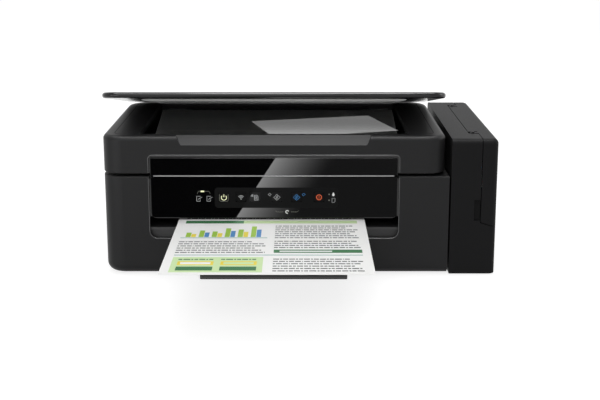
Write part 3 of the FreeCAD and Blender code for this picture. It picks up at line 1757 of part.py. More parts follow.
def make_feeder():
    tower = slab(
        "tower_outer",
        "Z",
        ("feeder_left", "feeder_right"),
        ("feeder_face", "case_back"),
        ("seam_height", "feeder_top"),
    )
    round_edges(tower, "feeder_radius", lambda point, along: upright(along))
    top = size("feeder_top")
    round_edges(tower, "feeder_radius / 2", lambda point, along: abs(point.z - top) < TOUCH)
    slot = box(
        "tower_slot",
        ("paper_centre - slot_half", "paper_centre + slot_half"),
        ("case_front + slot_front", "ramp_high_y"),
        ("seam_height - overcut", "feeder_top + overcut"),
    )
    support_slot = box(
        "tower_support_slot",
        ("paper_centre - support_width / 2 - slip", "paper_centre + support_width / 2 + slip"),
        ("support_y - slip", "support_y + support_thickness + slip"),
        ("seam_height - overcut", "feeder_top + overcut"),
    )
    hollow = cut("tower", tower, [slot, support_slot])
    high = "seam_height + ramp_thickness"
    ramp = prism(
        "ramp",
        "X",
        [
            ("ramp_high_y", high),
            ("ramp_low_y", "ramp_low"),
            ("ramp_low_y", "ramp_low - ramp_thickness"),
            ("ramp_low_y + ramp_thickness", "ramp_low - ramp_thickness"),
            ("ramp_high_y + overcut", f"{high} - ramp_thickness"),
            ("ramp_high_y + overcut", high),
        ],
        ("paper_centre - cheek_half", "paper_centre + cheek_half"),
    )
    cheeks = []
    for number, (low, far) in enumerate(
        (
            ("paper_centre - cheek_half - cheek", "paper_centre - cheek_half"),
            ("paper_centre + cheek_half", "paper_centre + cheek_half + cheek"),
        )
    ):
        outline = [
            ("ramp_low_y - 4 * pickup_shaft", "ramp_low - ramp_thickness"),
            ("ramp_low_y + 2 * cheek_margin", "ramp_low - ramp_thickness"),
            ("ramp_high_y", "seam_height - 5 * cheek"),
            ("ramp_high_y", "seam_height + cheek"),
            ("feeder_face + cheek", "seam_height + cheek"),
            ("feeder_face + cheek", "seam_height - deck_thickness - cheek"),
            ("ramp_low_y - 4 * pickup_shaft", "seam_height - deck_thickness - cheek"),
        ]
        cheeks.append(prism(f"feeder_cheek_{number}", "X", outline, (low, far)))
    bore = rod(
        "feeder_bore",
        "X",
        ("pickup_y", "pickup_level"),
        "pickup_shaft + running",
        ("paper_centre - cheek_half - 2 * cheek", "paper_centre + cheek_half + 2 * cheek"),
    )
    solid = joined("feeder_solid", [hollow, ramp] + cheeks)
    node("feeder_frame", cut("feeder", solid, [bore]))
    shaft = rod(
        "pickup_axle",
        "X",
        ("pickup_y", "pickup_level"),
        "pickup_shaft",
        ("paper_centre - cheek_half - 2 * cheek", "paper_centre + cheek_half + 2 * cheek"),
    )
    tyre = rod(
        "pickup_tyre",
        "X",
        ("pickup_y", "pickup_level"),
        "pickup_radius",
        ("paper_centre - pickup_width / 2", "paper_centre + pickup_width / 2"),
    )
    node("pickup_roller", joined("pickup", [shaft, tyre]))
    support = slab(
        "support_plate",
        "Y",
        ("paper_centre - support_width / 2", "paper_centre + support_width / 2"),
        ("support_y", "support_y + support_thickness"),
        ("support_low", "feeder_top + support_tab"),
    )
    high_z = size("feeder_top + support_tab")
    round_edges(support, "support_tab", lambda point, along: abs(along.y) > 0.9 and point.z > high_z - NEAR)
    node("paper_support", support)
    edge = "paper_centre + paper_width / 2 + guide_clear"
    guide = box(
        "guide_plate",
        (edge, f"{edge} + guide_thickness"),
        ("case_front + slot_front + slip", "ramp_high_y - slip"),
        ("seam_height + ramp_thickness + guide_rise", "feeder_top + guide_rise"),
    )
    node("edge_guide", guide)


# Electronics

def make_electronics():
    node(
        "power_supply",
        box(
            "supply",
            ("supply_left", "supply_left + supply_width"),
            ("supply_back - supply_depth", "supply_back"),
            ("pan_top", "pan_top + supply_height"),
        ),
    )
    inlet = box(
        "inlet_shell",
        ("inlet_x - inlet_width / 2", "inlet_x + inlet_width / 2"),
        ("supply_back", "case_back"),
        ("inlet_level", "inlet_level + inlet_height"),
    )
    socket = box(
        "inlet_socket",
        ("inlet_x - inlet_width / 2 + case_wall", "inlet_x + inlet_width / 2 - case_wall"),
        ("case_back - inlet_hole", "case_back + overcut"),
        ("inlet_level + case_wall", "inlet_level + inlet_height - case_wall"),
    )
    node("power_inlet", cut("inlet", inlet, [socket]))
    board = box(
        "main_sheet",
        ("paper_centre - main_board_width / 2", "paper_centre + main_board_width / 2"),
        ("case_front + main_board_front", "case_back - port_depth + case_wall"),
        ("board_bottom", "board_top"),
    )
    spacers = [
        rod(
            f"board_spacer_{number}",
            "Z",
            (
                f"paper_centre {sign_x} (main_board_width / 2 - main_board_rise)",
                y_place,
            ),
            "main_board_rise / 2",
            ("pan_top", "board_bottom + fuse_lap"),
        )
        for number, (sign_x, y_place) in enumerate(
            (sign, where)
            for sign in ("-", "+")
            for where in (
                "case_front + main_board_front + main_board_rise",
                "case_back - pan_inset - main_board_rise",
            )
        )
    ]
    node("main_board", joined("main_board_piece", [board] + spacers))
    port = box(
        "port_shell",
        ("port_x - port_width / 2", "port_x + port_width / 2"),
        ("case_back - port_depth", "case_back"),
        ("board_top", "board_top + port_height"),
    )
    socket = box(
        "port_socket",
        ("port_x - port_width / 2 + port_wall", "port_x + port_width / 2 - port_wall"),
        ("case_back - port_hole", "case_back + overcut"),
        ("board_top + port_wall", "board_top + port_height - port_wall"),
    )
    node("usb_port", cut("port", port, [socket]))


def check_and_write():
    """Stop on any failed object, then write one file per sub-part."""
    doc.recompute()
    for thing in doc.Objects:
        if "Invalid" in thing.State or "Error" in thing.State:
            raise RuntimeError(f"{thing.Label} failed: {thing.State}")
    for name, thing in NODES.items():
        if thing.Shape.isNull() or not thing.Shape.isValid() or not thing.Shape.Solids:
            raise RuntimeError(f"{name} has no valid solid")
    os.makedirs("parts", exist_ok=True)
    for name, thing in NODES.items():
        thing.Shape.exportStep(f"parts/{name}.step")
        print(f"{name}: {len(thing.Shape.Solids)} solid(s), {thing.Shape.Volume / 1000:.1f} cm3")
    print(f"{len(NODES)} sub-parts")


make_feet()
make_base_pan()
make_lower_case()
make_screws()
make_control_panel()
make_panel_board()
make_buttons()
make_scanner_case()
make_panel_header()
make_scanner_tub()
make_scanner_inside()
make_lid()
make_lid_hinges()
make_tank_housing()
make_tank_cover()
make_ink()
make_ink_tubes()
make_tray()
make_main_frame()
make_bushes()
make_rollers()
make_gears()
make_motors()
make_belt()
make_carriage()
make_platen()
make_capping_station()
make_feeder()
make_electronics()
check_and_write()
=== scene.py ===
"""Finishes, print, marks, trims and studio for the inkjet printer with its side ink tank."""
import json
import logging
import math
from dataclasses import dataclass
from enum import Enum

import bmesh
import bpy
import numpy as np
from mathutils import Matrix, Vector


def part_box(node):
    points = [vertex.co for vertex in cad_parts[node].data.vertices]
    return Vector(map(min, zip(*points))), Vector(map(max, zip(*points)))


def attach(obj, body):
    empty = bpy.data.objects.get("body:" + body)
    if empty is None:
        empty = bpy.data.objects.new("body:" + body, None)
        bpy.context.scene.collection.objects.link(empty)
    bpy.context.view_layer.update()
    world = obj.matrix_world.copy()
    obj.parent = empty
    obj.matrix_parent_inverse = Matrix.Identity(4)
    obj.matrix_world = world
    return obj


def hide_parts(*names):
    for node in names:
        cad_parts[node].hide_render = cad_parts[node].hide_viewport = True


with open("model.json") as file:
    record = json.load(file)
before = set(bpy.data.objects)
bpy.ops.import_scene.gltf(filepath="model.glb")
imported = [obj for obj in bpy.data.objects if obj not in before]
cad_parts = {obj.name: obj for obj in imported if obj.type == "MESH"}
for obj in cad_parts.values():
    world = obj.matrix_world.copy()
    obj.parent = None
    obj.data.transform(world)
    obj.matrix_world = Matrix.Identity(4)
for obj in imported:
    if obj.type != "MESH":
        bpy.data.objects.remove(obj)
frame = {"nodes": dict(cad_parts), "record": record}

log = logging.getLogger("printer")
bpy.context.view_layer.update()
MM = 0.001
LID_RAISED = math.radians(10.1)
LID_OUT = (0.0, math.sin(LID_RAISED), math.cos(LID_RAISED))
Colour = tuple[float, float, float]
Span = tuple[float, float]


class Shader:
    """A material's node tree with short calls to add and join nodes."""

    def __init__(self, name: str) -> None:
        """Start a material that holds only its surface shader and the piece's own coordinates.

        Args:
            name: the material's name.
        """
        self.material = bpy.data.materials.new(name)
        self.material.use_nodes = True
        self.tree = self.material.node_tree
        self.surface = self.tree.nodes["Principled BSDF"]
        self.place = self.add("ShaderNodeTexCoord").outputs["Object"]

    def add(self, kind: str, inputs: dict | None = None, **properties: object) -> bpy.types.Node:
        """Add a node.

        Args:
            kind: the node's type.
            inputs: socket names or numbers, each with a value or the socket that feeds it.
            properties: the node's own settings.

        Returns:
            The new node.
        """
        node = self.tree.nodes.new(kind)
        for key, value in properties.items():
            setattr(node, key, value)
        for key, value in (inputs or {}).items():
            self.feed(node.inputs[key], value)
        return node

    def feed(self, socket: bpy.types.NodeSocket, value: object) -> None:
        """Join a socket to another one, or set it to a plain value.

        Args:
            socket: the socket to fill.
            value: another socket, or a plain value.
        """
        if isinstance(value, bpy.types.NodeSocket):
            self.tree.links.new(value, socket)
        else:
            socket.default_value = value

    def set(self, **values: object) -> None:
        """Set the surface shader's sockets, named with underscores for spaces."""
        for key, value in values.items():
            self.feed(self.surface.inputs[key.replace("_", " ")], value)

    def stretched(self, scale: Colour) -> bpy.types.NodeSocket:
        """The piece's coordinates, scaled along each axis."""
        return self.add("ShaderNodeMapping", {"Vector": self.place, "Scale": scale}).outputs["Vector"]

    def noise(self, scale: float, detail: float = 2.0, vector: object = None) -> bpy.types.NodeSocket:
        """Cloudy noise.

        Args:
            scale: cells per metre.
            detail: how many finer layers are added.
            vector: the coordinates, or None for the piece's own.

        Returns:
            The noise from 0 to 1.
        """
        inputs = {"Vector": vector or self.place, "Scale": scale, "Detail": detail}
        return self.add("ShaderNodeTexNoise", inputs).outputs["Fac"]

    def spread(self, value: object, low: float, high: float, start: float = 0.3, end: float = 0.7) -> object:
        """Map a value between two bounds onto two others.

        Args:
            value: the socket to map.
            low: the result at start.
            high: the result at end.
            start: the lower bound of the value.
            end: the upper bound of the value.

        Returns:
            The mapped socket.
        """
        inputs = {"Value": value, "From Min": start, "From Max": end, "To Min": low, "To Max": high}
        return self.add("ShaderNodeMapRange", inputs).outputs["Result"]

    def tint(self, share: object, first: object, second: object) -> bpy.types.NodeSocket:
        """A colour between two others.

        Args:
            share: how much of the second colour, from 0 to 1.
            first: a colour or a socket.
            second: a colour or a socket.

        Returns:
            The socket that holds the mixed colour.
        """
        first, second = (
            (*colour, 1.0) if isinstance(colour, tuple) and len(colour) == 3 else colour
            for colour in (first, second)
        )
        node = self.add("ShaderNodeMix", {0: share, 6: first, 7: second}, data_type="RGBA")
        return node.outputs[2]

    def math(self, kind: str, first: object, second: object = 0.0) -> bpy.types.NodeSocket:
        """One sum on one or two values."""
        return self.add("ShaderNodeMath", {0: first, 1: second}, operation=kind).outputs[0]

    def relief(self, height: object, depth: float, strength: float = 1.0) -> None:
        """Raise the surface by a height field.

        Args:
            height: the field from 0 to 1.
            depth: what 1 stands for, in metres.
            strength: how much of the field shows.
        """
        node = self.add("ShaderNodeBump", {"Height": height, "Distance": depth, "Strength": strength})
        self.set(Normal=node.outputs["Normal"])


def scaled(colour: Colour, factor: float) -> Colour:
    """A colour made lighter or darker."""
    return tuple(channel * factor for channel in colour)


@dataclass(frozen=True)
class Finish:
    """A surface finish that makes its material once."""

    name: str
    colour: Colour
    roughness: float

    def material(self) -> bpy.types.Material:
        """The finish's material, made at its first use.

        Returns:
            The material.
        """
        known = bpy.data.materials.get(self.name)
        if known:
            return known
        shader = Shader(self.name)
        self.dress(shader)
        return shader.material

    def dress(self, shader: Shader) -> None:
        """Lay the finish's nodes into its material."""
        shader.set(Base_Color=(*self.colour, 1.0), Roughness=self.roughness)


@dataclass(frozen=True)
class MouldedPlastic(Finish):
    """Plastic with the fine eroded texture of its mould."""

    grain: float = 1700.0
    depth: float = 3.5e-5
    mottle: float = 0.05
    uneven: float = 0.04
    specular: float = 0.5

    def shade(self, shader: Shader) -> bpy.types.NodeSocket:
        """The plastic's colour, a little lighter and darker in slow clouds."""
        low, high = scaled(self.colour, 1 - self.mottle), scaled(self.colour, 1 + self.mottle)
        return shader.tint(shader.noise(7.0, 3.0), low, high)

    def dress(self, shader: Shader) -> None:
        """Fine grain in relief, with slow changes of shade and gloss.

        Args:
            shader: the material to lay the nodes into.
        """
        gloss = self.roughness - self.uneven, self.roughness + self.uneven
        shader.set(
            Base_Color=self.shade(shader),
            Roughness=shader.spread(shader.noise(900.0, 4.0), *gloss),
            Specular_IOR_Level=self.specular,
        )
        shader.relief(shader.noise(self.grain, 2.0), self.depth, 0.6)


@dataclass(frozen=True)
class PolishedPlastic(Finish):
    """Plastic from a polished mould, with a little haze and handling dust."""

    haze: float = 0.03
    specular: float = 0.5

    def dress(self, shader: Shader) -> None:
        """A smooth surface whose gloss is broken by faint smudges and dust.

        Args:
            shader: the material to lay the nodes into.
        """
        gloss = self.roughness, self.roughness + self.haze
        smudge = shader.spread(shader.noise(22.0, 5.0), *gloss, 0.45, 0.75)
        dust = shader.spread(shader.noise(2600.0, 1.0), 0.0, 1.0, 0.74, 0.8)
        shader.set(
            Base_Color=shader.tint(dust, self.colour, tuple(channel + 0.02 for channel in self.colour)),
            Roughness=smudge,
            Specular_IOR_Level=self.specular,
        )
        shader.relief(shader.noise(55.0, 1.0), 4e-6, 0.5)


@dataclass(frozen=True)
class LidPlastic(PolishedPlastic):
    """Polished plastic with a grained face on the raised lid's flat top."""

    level: float = 0.0
    grained: float = 0.4
    grain: float = 700.0

    def dress(self, shader: Shader) -> None:
        """A matte hide-like grain on the top face and a clear rim, told apart by their height.

        Args:
            shader: the material to lay the nodes into.
        """
        out = shader.add("ShaderNodeVectorMath", {0: shader.place, 1: LID_OUT}, operation="DOT_PRODUCT")
        face = shader.spread(out.outputs["Value"], 0.0, 1.0, self.level - 0.3 * MM, self.level - 0.1 * MM)
        cells = shader.add("ShaderNodeTexVoronoi", {"Vector": shader.place, "Scale": self.grain})
        hide = cells.outputs["Distance"]
        smudge = shader.spread(shader.noise(22.0, 5.0), self.grained, self.grained + self.haze, 0.45, 0.75)
        rough = shader.add("ShaderNodeMix", {0: face, 2: self.roughness, 3: smudge}).outputs[0]
        dust = shader.spread(shader.noise(2600.0, 1.0), 0.0, 1.0, 0.74, 0.8)
        shader.set(
            Base_Color=shader.tint(dust, self.colour, tuple(channel + 0.02 for channel in self.colour)),
            Roughness=rough,
            Specular_IOR_Level=self.specular,
        )
        shader.relief(shader.math("MULTIPLY", hide, face), 6e-5, 0.7)


@dataclass(frozen=True)
class DrawnMetal(Finish):
    """Metal with the streaks of rolling, drawing or turning."""

    streaks: Colour = (6.0, 900.0, 900.0)
    uneven: float = 0.1

    def dress(self, shader: Shader) -> None:
        """Long fine streaks in gloss and relief over a slow change of shade.

        Args:
            shader: the material to lay the nodes into.
        """
        streak = shader.noise(1.0, 3.0, shader.stretched(self.streaks))
        cloud = shader.noise(30.0, 4.0)
        shader.set(
            Base_Color=shader.tint(cloud, scaled(self.colour, 0.88), self.colour),
            Roughness=shader.spread(streak, self.roughness - self.uneven, self.roughness + self.uneven),
            Metallic=1.0,
        )
        shader.relief(streak, 6e-6, 0.4)


@dataclass(frozen=True)
class SoftRubber(Finish):
    """Matte rubber with a powdery bloom."""

    def dress(self, shader: Shader) -> None:
        """A coarse grain with a paler bloom in its hollows.

        Args:
            shader: the material to lay the nodes into.
        """
        grain = shader.noise(900.0, 3.0)
        shader.set(
            Base_Color=shader.tint(grain, self.colour, scaled(self.colour, 1.7)),
            Roughness=self.roughness,
            Specular_IOR_Level=0.3,
        )
        shader.relief(grain, 6e-5, 0.6)


@dataclass(frozen=True)
class FloatGlass(Finish):
    """Clear glass with a faint tint."""

    def dress(self, shader: Shader) -> None:
        """Full transmission, with a trace of handling haze in the gloss."""
        haze = shader.spread(shader.noise(16.0, 5.0), self.roughness, self.roughness + 0.03, 0.5, 0.8)
        shader.set(Base_Color=(*self.colour, 1.0), Roughness=haze, IOR=1.52, Transmission_Weight=1.0)


@dataclass(frozen=True)
class FoamSkin(Finish):
    """Foam with a close knitted face."""

    rows: float = 900.0

    def dress(self, shader: Shader) -> None:
        """Two crossed waves make the knit, with a soft cloud of shade and some lint.

        Args:
            shader: the material to lay the nodes into.
        """
        wave = {"Vector": shader.place, "Scale": self.rows, "Distortion": 1.5}
        across, along = (shader.add("ShaderNodeTexWave", wave, bands_direction=way) for way in "XY")
        knit = shader.math("MULTIPLY", across.outputs["Fac"], along.outputs["Fac"])
        shader.set(
            Base_Color=shader.tint(shader.noise(25.0, 5.0), scaled(self.colour, 0.93), self.colour),
            Roughness=self.roughness,
            Sheen_Weight=0.15,
        )
        shader.relief(knit, 5e-5, 0.5)


@dataclass(frozen=True)
class PrintedPaper(Finish):
    """Plain paper that carries a print in its own colour layer."""

    layer: str = "print"

    def dress(self, shader: Shader) -> None:
        """The print's colours, mottled by the fibres that also show in relief.

        Args:
            shader: the material to lay the nodes into.
        """
        ink = shader.add("ShaderNodeAttribute", attribute_name=self.layer).outputs["Color"]
        fibre = shader.noise(1500.0, 4.0)
        mottled = shader.add(
            "ShaderNodeMix",
            {0: 1.0, 6: ink, 7: shader.tint(fibre, (0.96, 0.96, 0.96), (1.0, 1.0, 1.0))},
            data_type="RGBA",
            blend_type="MULTIPLY",
        )
        shader.set(Base_Color=mottled.outputs[2], Roughness=self.roughness, Specular_IOR_Level=0.25)
        shader.relief(fibre, 2.5e-5, 0.5)


@dataclass(frozen=True)
class CircuitBoard(Finish):
    """Solder mask over copper tracks, with tinned pads."""

    def dress(self, shader: Shader) -> None:
        """Brick courses stand for runs of track, and cells of a voronoi pattern for tinned pads.

        Args:
            shader: the material to lay the nodes into.
        """
        courses = {"Vector": shader.place, "Scale": 90.0, "Mortar Size": 0.05, "Brick Width": 0.9}
        tracks = shader.add("ShaderNodeTexBrick", courses)
        pads = shader.add("ShaderNodeTexVoronoi", {"Vector": shader.place, "Scale": 260.0})
        pad = shader.spread(pads.outputs["Distance"], 1.0, 0.0, 0.16, 0.2)
        masked = shader.tint(tracks.outputs["Fac"], self.colour, scaled(self.colour, 2.2))
        shader.set(Base_Color=shader.tint(pad, masked, (0.55, 0.55, 0.5)), Roughness=self.roughness)
        shader.relief(tracks.outputs["Fac"], 4e-5, 0.7)


@dataclass(frozen=True)
class InkTank(Finish):
    """A cloudy plastic tank with ink up to a level."""

    level: float = 0.095

    def dress(self, shader: Shader) -> None:
        """Ink colour below the level, milky plastic above it.

        Args:
            shader: the material to lay the nodes into.
        """
        height = shader.add("ShaderNodeSeparateXYZ", {"Vector": shader.place}).outputs["Z"]
        empty = shader.spread(height, 0.0, 1.0, self.level - 0.4 * MM, self.level + 0.4 * MM)
        cloud = shader.noise(60.0, 3.0)
        filled = shader.tint(cloud, self.colour, scaled(self.colour, 1.25))
        shader.set(
            Base_Color=shader.tint(empty, filled, (0.72, 0.73, 0.72)),
            Roughness=shader.spread(cloud, self.roughness - 0.05, self.roughness + 0.05),
            Subsurface_Weight=0.15,
        )
        shader.relief(shader.noise(700.0, 2.0), 2e-5, 0.4)


@dataclass(frozen=True)
class InkTubes(Finish):
    """Clear tubes, each showing the ink that runs in it by its height."""

    lowest: float = 0.016
    step: float = 0.006

    def dress(self, shader: Shader) -> None:
        """Bands of ink colour by height, with a gloss like wet vinyl.

        Args:
            shader: the material to lay the nodes into.
        """
        height = shader.add("ShaderNodeSeparateXYZ", {"Vector": shader.place}).outputs["Z"]
        top = self.lowest + 4 * self.step
        share = shader.spread(height, 0.0, 1.0, self.lowest - self.step / 2, top - self.step / 2)
        ramp = shader.add("ShaderNodeValToRGB", {"Fac": share})
        ramp.color_ramp.interpolation = "CONSTANT"
        while len(ramp.color_ramp.elements) < 4:
            ramp.color_ramp.elements.new(0.9)
        for number, ink in enumerate(Ink):
            element = ramp.color_ramp.elements[number]
            element.position = number / 4
            element.color = (*ink.value, 1.0)
        cloud = shader.noise(300.0, 2.0)
        shader.set(
            Base_Color=shader.tint(cloud, ramp.outputs["Color"], (0.5, 0.5, 0.5, 1.0)),
            Roughness=self.roughness,
            Coat_Weight=0.6,
        )


@dataclass(frozen=True)
class GlowingMark(Finish):
    """A printed mark that glows: from a lamp behind it where there is one, and as painted brightness on signs
    that have none.
    """

    glow: float = 0.0

    def dress(self, shader: Shader) -> None:
        """Ink with a slight grain, and its glow: a lamp's light where a lamp is on, painted brightness where
        there is no lamp.

        Args:
            shader: the material to lay the nodes into.
        """
        grain = shader.noise(900.0, 2.0)
        shader.set(
            Base_Color=shader.tint(grain, scaled(self.colour, 0.8), self.colour),
            Roughness=self.roughness,
            Emission_Color=(*self.colour, 1.0),
            Emission_Strength=self.glow,
        )


class Ink(Enum):
    """The four inks, in the order of their tanks from the front."""

    BLACK = (0.012, 0.012, 0.014)
    CYAN = (0.01, 0.22, 0.45)
    MAGENTA = (0.42, 0.012, 0.14)
    YELLOW = (0.72, 0.5, 0.02)


FINISHES: dict[str, Finish] = {
    "case_grey": MouldedPlastic("case_satin", (0.0195, 0.0195, 0.0202), 0.42, specular=0.12),
    "tank_grey": MouldedPlastic("tank_satin", (0.0165, 0.0165, 0.0171), 0.44, specular=0.03),
    "lid_black": PolishedPlastic("lid_gloss", (0.012, 0.012, 0.0128), 0.16),
    "panel_black": PolishedPlastic("panel_gloss", (0.0025, 0.0025, 0.0028), 0.04),
    "button_black": MouldedPlastic("key_satin", (0.011, 0.011, 0.0115), 0.45, depth=1.2e-5, specular=0.04),
    "tray_black": MouldedPlastic("tray_moulded", (0.010, 0.010, 0.0105), 0.46),
    "inner_black": MouldedPlastic("inner_moulded", (0.011, 0.011, 0.0115), 0.55, grain=1100.0),
    "steel": DrawnMetal("plated_steel", (0.56, 0.56, 0.54), 0.3),
    "rubber": SoftRubber("foot_rubber", (0.012, 0.012, 0.012), 0.85),
    "glass": FloatGlass("scan_glass", (0.93, 0.97, 0.95), 0.0),
    "mat_white": FoamSkin("mat_foam", (0.84, 0.84, 0.83), 0.85),
    "paper": PrintedPaper("sheet_print", (0.86, 0.86, 0.85), 0.7),
    "board_green": CircuitBoard("board_mask", (0.012, 0.085, 0.035), 0.35),
    "gear_white": MouldedPlastic("gear_moulded", (0.62, 0.6, 0.54), 0.4, depth=1.5e-5),
    "motor_metal": DrawnMetal("motor_can", (0.45, 0.45, 0.44), 0.34, streaks=(900.0, 8.0, 900.0)),
    "port_metal": DrawnMetal("socket_shell", (0.6, 0.6, 0.58), 0.26, streaks=(900.0, 8.0, 900.0)),
    "tube_clear": InkTubes("ink_tube", (0.5, 0.5, 0.5), 0.15),
    "ink_black": InkTank("tank_with_black", Ink.BLACK.value, 0.3, level=0.1),
    "ink_cyan": InkTank("tank_with_cyan", Ink.CYAN.value, 0.3, level=0.094),
    "ink_magenta": InkTank("tank_with_magenta", Ink.MAGENTA.value, 0.3, level=0.09),
    "ink_yellow": InkTank("tank_with_yellow", Ink.YELLOW.value, 0.3, level=0.097),
    "cap_black": MouldedPlastic("cap_moulded", (0.014, 0.014, 0.014), 0.5),
}


def lid_level() -> float:
    """The height of the lid's top face, measured along the lid's own normal.

    Returns:
        The height in metres.
    """
    mesh = frame["nodes"]["document_lid"].data
    points = np.empty(3 * len(mesh.vertices))
    mesh.vertices.foreach_get("co", points)
    return float((points.reshape(-1, 3) @ np.array(LID_OUT)).max())


NODE_FINISHES: dict[str, Finish] = {
    "document_lid": LidPlastic("lid_grained", (0.012, 0.012, 0.0128), 0.12, specular=0.25, level=lid_level()),
}


def grid_quads(rows: int, columns: int, wrap: bool = False) -> np.ndarray:
    """The quads of a grid of points counted row by row.

    Args:
        rows: points along the first parameter.
        columns: points along the second one.
        wrap: whether the last column meets the first.

    Returns:
        One row of four point numbers per quad.
    """
    row, column = np.meshgrid(np.arange(rows - 1), np.arange(columns - (not wrap)), indexing="ij")
    after = (column + 1) % columns
    here, above = row * columns, (row + 1) * columns
    corners = [here + column, here + after, above + after, above + column]
    return np.stack([corner.ravel() for corner in corners], axis=1)


def make_piece(
    name: str,
    points: np.ndarray,
    faces: list,
    finish: Finish,
    body: str,
    slot: str | None = None,
    crease: float = 40.0,
) -> bpy.types.Object:
    """Put a surface into the scene, on the body that it moves with.

    Args:
        name: the piece's name.
        points: one row of x, y, z in metres per point.
        faces: point numbers of each face.
        finish: what it is made of.
        body: the body that carries it.
        slot: the record's material slot, if it has one; not used.
        crease: the angle in degrees past which an edge stays sharp.

    Returns:
        The new object.
    """
    mesh = bpy.data.meshes.new(name)
    mesh.from_pydata(np.asarray(points, dtype=float).tolist(), [], [list(face) for face in faces])
    shaped = bmesh.new()
    shaped.from_mesh(mesh)
    bmesh.ops.remove_doubles(shaped, verts=shaped.verts, dist=1e-7)
    bmesh.ops.recalc_face_normals(shaped, faces=shaped.faces)
    shaped.to_mesh(mesh)
    shaped.free()
    mesh.polygons.foreach_set("use_smooth", np.ones(len(mesh.polygons), dtype=bool))
    mesh.set_sharp_from_angle(angle=math.radians(crease))
    mesh.materials.append(finish.material())
    piece = bpy.data.objects.new(name, mesh)
    bpy.context.scene.collection.objects.link(piece)
    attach(piece, body)
    log.info("%s: %d faces on %s", name, len(mesh.polygons), body)
    return piece


def plate(outline: np.ndarray, near: float, far: float) -> tuple[np.ndarray, list]:
    """A flat plate facing the front: an outline in x and z carried straight from one depth to another.

    Args:
        outline: one row of x, z per corner, in order.
        near: the y of the front face.
        far: the y of the back face.

    Returns:
        The plate's points and faces.
    """
    count = len(outline)
    front = np.column_stack([outline[:, 0], np.full(count, near), outline[:, 1]])
    back = np.column_stack([outline[:, 0], np.full(count, far), outline[:, 1]])
    faces = grid_quads(2, count, wrap=True).tolist()
    faces += [list(range(count)), list(range(2 * count - 1, count - 1, -1))]
    return np.vstack([front, back]), faces


class Plane(Enum):
    """The flat side of the printer that a line is laid on, with the order of across, along and out."""

    FRONT = (0, 2, 1)
    TOP = (0, 1, 2)


def sweep(
    path: np.ndarray, sides: np.ndarray, outs: np.ndarray, closed: bool, plane: Plane = Plane.FRONT
) -> tuple[np.ndarray, list]:
    """A profile carried along a flat path, kept square to it.

    Each path point gets the whole profile: its side is added along the path's normal, and its out is the
    place across the plane.

    Args:
        path: one row per point, across and along the plane.
        sides: the profile's distances to the path's left.
        outs: the profile's places out of the plane.
        closed: whether the path is a loop.
        plane: the side of the printer that the path lies on.

    Returns:
        The points and faces.
    """
    if closed:
        along = np.roll(path, -1, axis=0) - np.roll(path, 1, axis=0)
    else:
        along = np.gradient(path, axis=0)
    along = along / np.linalg.norm(along, axis=1, keepdims=True)
    normal = np.column_stack([-along[:, 1], along[:, 0]])
    flat = path[:, None, :] + normal[:, None, :] * np.asarray(sides)[None, :, None]
    points = np.empty((*flat.shape[:2], 3))
    across, up, out = plane.value
    points[:, :, across], points[:, :, up], points[:, :, out] = flat[:, :, 0], flat[:, :, 1], np.asarray(outs)
    count = len(sides)
    rows = np.arange(len(path) * count).reshape(len(path), count)
    if closed:
        faces = grid_quads(len(path) + 1, count, wrap=True) % len(rows.ravel())
        return points.reshape(-1, 3), faces.tolist()
    faces = grid_quads(len(path), count, wrap=True).tolist()
    return points.reshape(-1, 3), faces + [rows[0, ::-1].tolist(), rows[-1].tolist()]


def stroke(
    path: np.ndarray, width: float, closed: bool, near: float, far: float, plane: Plane = Plane.FRONT
) -> tuple[np.ndarray, list]:
    """A line of even width: a thin rectangle carried along a path."""
    sides = np.array([1, -1, -1, 1]) * width / 2
    return sweep(path, sides, np.array([near, near, far, far]), closed, plane)


def bead(path: np.ndarray, radius: float, face: float, closed: bool = False) -> tuple[np.ndarray, list]:
    """A half-round moulding on the front: half a circle carried along a path, its flat side on the face."""
    turn = np.linspace(0, np.pi, 9)
    return sweep(path, radius * np.cos(turn), face - radius * np.sin(turn), closed)


def merged(parts: list) -> tuple[np.ndarray, list]:
    """Several sets of points and faces as one.

    Args:
        parts: pairs of points and faces.

    Returns:
        All the points, and the faces counted through.
    """
    points = np.vstack([part[0] for part in parts])
    starts = np.cumsum([0] + [len(part[0]) for part in parts[:-1]])
    faces = [[int(index + start) for index in face] for part, start in zip(parts, starts) for face in part[1]]
    return points, faces


def arc(centre: Span, radius: float, start: float, end: float, count: int = 24) -> np.ndarray:
    """Points on a circle between two angles in degrees, counted from +x towards +z."""
    turn = np.radians(np.linspace(start, end, count))
    return np.column_stack([centre[0] + radius * np.cos(turn), centre[1] + radius * np.sin(turn)])


def rounded_box(x: Span, z: Span, radius: float, count: int = 7) -> np.ndarray:
    """A rectangle with quarter circles at its corners, as a loop of x, z.

    Args:
        x: its left and right ends.
        z: its low and high ends.
        radius: the corners' radius.
        count: points on each corner.

    Returns:
        The loop of points.
    """
    corners = [(x[1], z[1], 0), (x[0], z[1], 90), (x[0], z[0], 180), (x[1], z[0], 270)]
    return np.vstack(
        [
            arc(
                (cx - math.copysign(radius, cx - sum(x) / 2), cz - math.copysign(radius, cz - sum(z) / 2)),
                radius,
                start,
                start + 90,
                count,
            )
            for cx, cz, start in corners
        ]
    )


def joint(name: str) -> dict:
    """What the record says of one joint."""
    return next(entry for entry in frame["record"]["behaviour"]["joints"] if entry["name"] == name)


class CadNodes:
    """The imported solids, which keep their shape and get their finish."""

    def dress(self) -> None:
        """Give every node its own finish, or that of its material slot."""
        for part in frame["record"]["subparts"]:
            node = frame["nodes"][part["node"]]
            finish = NODE_FINISHES.get(part["node"], FINISHES[part["material_slot"]])
            material = finish.material()
            if node.material_slots:
                for slot in node.material_slots:
                    slot.material = material
            else:
                node.data.materials.append(material)
            log.info("%s: %s", part["node"], material.name)


@dataclass
class Block:
    """A rectangle of the print, in millimetres from the sheet's near left corner."""

    x: Span
    y: Span
    colour: Colour


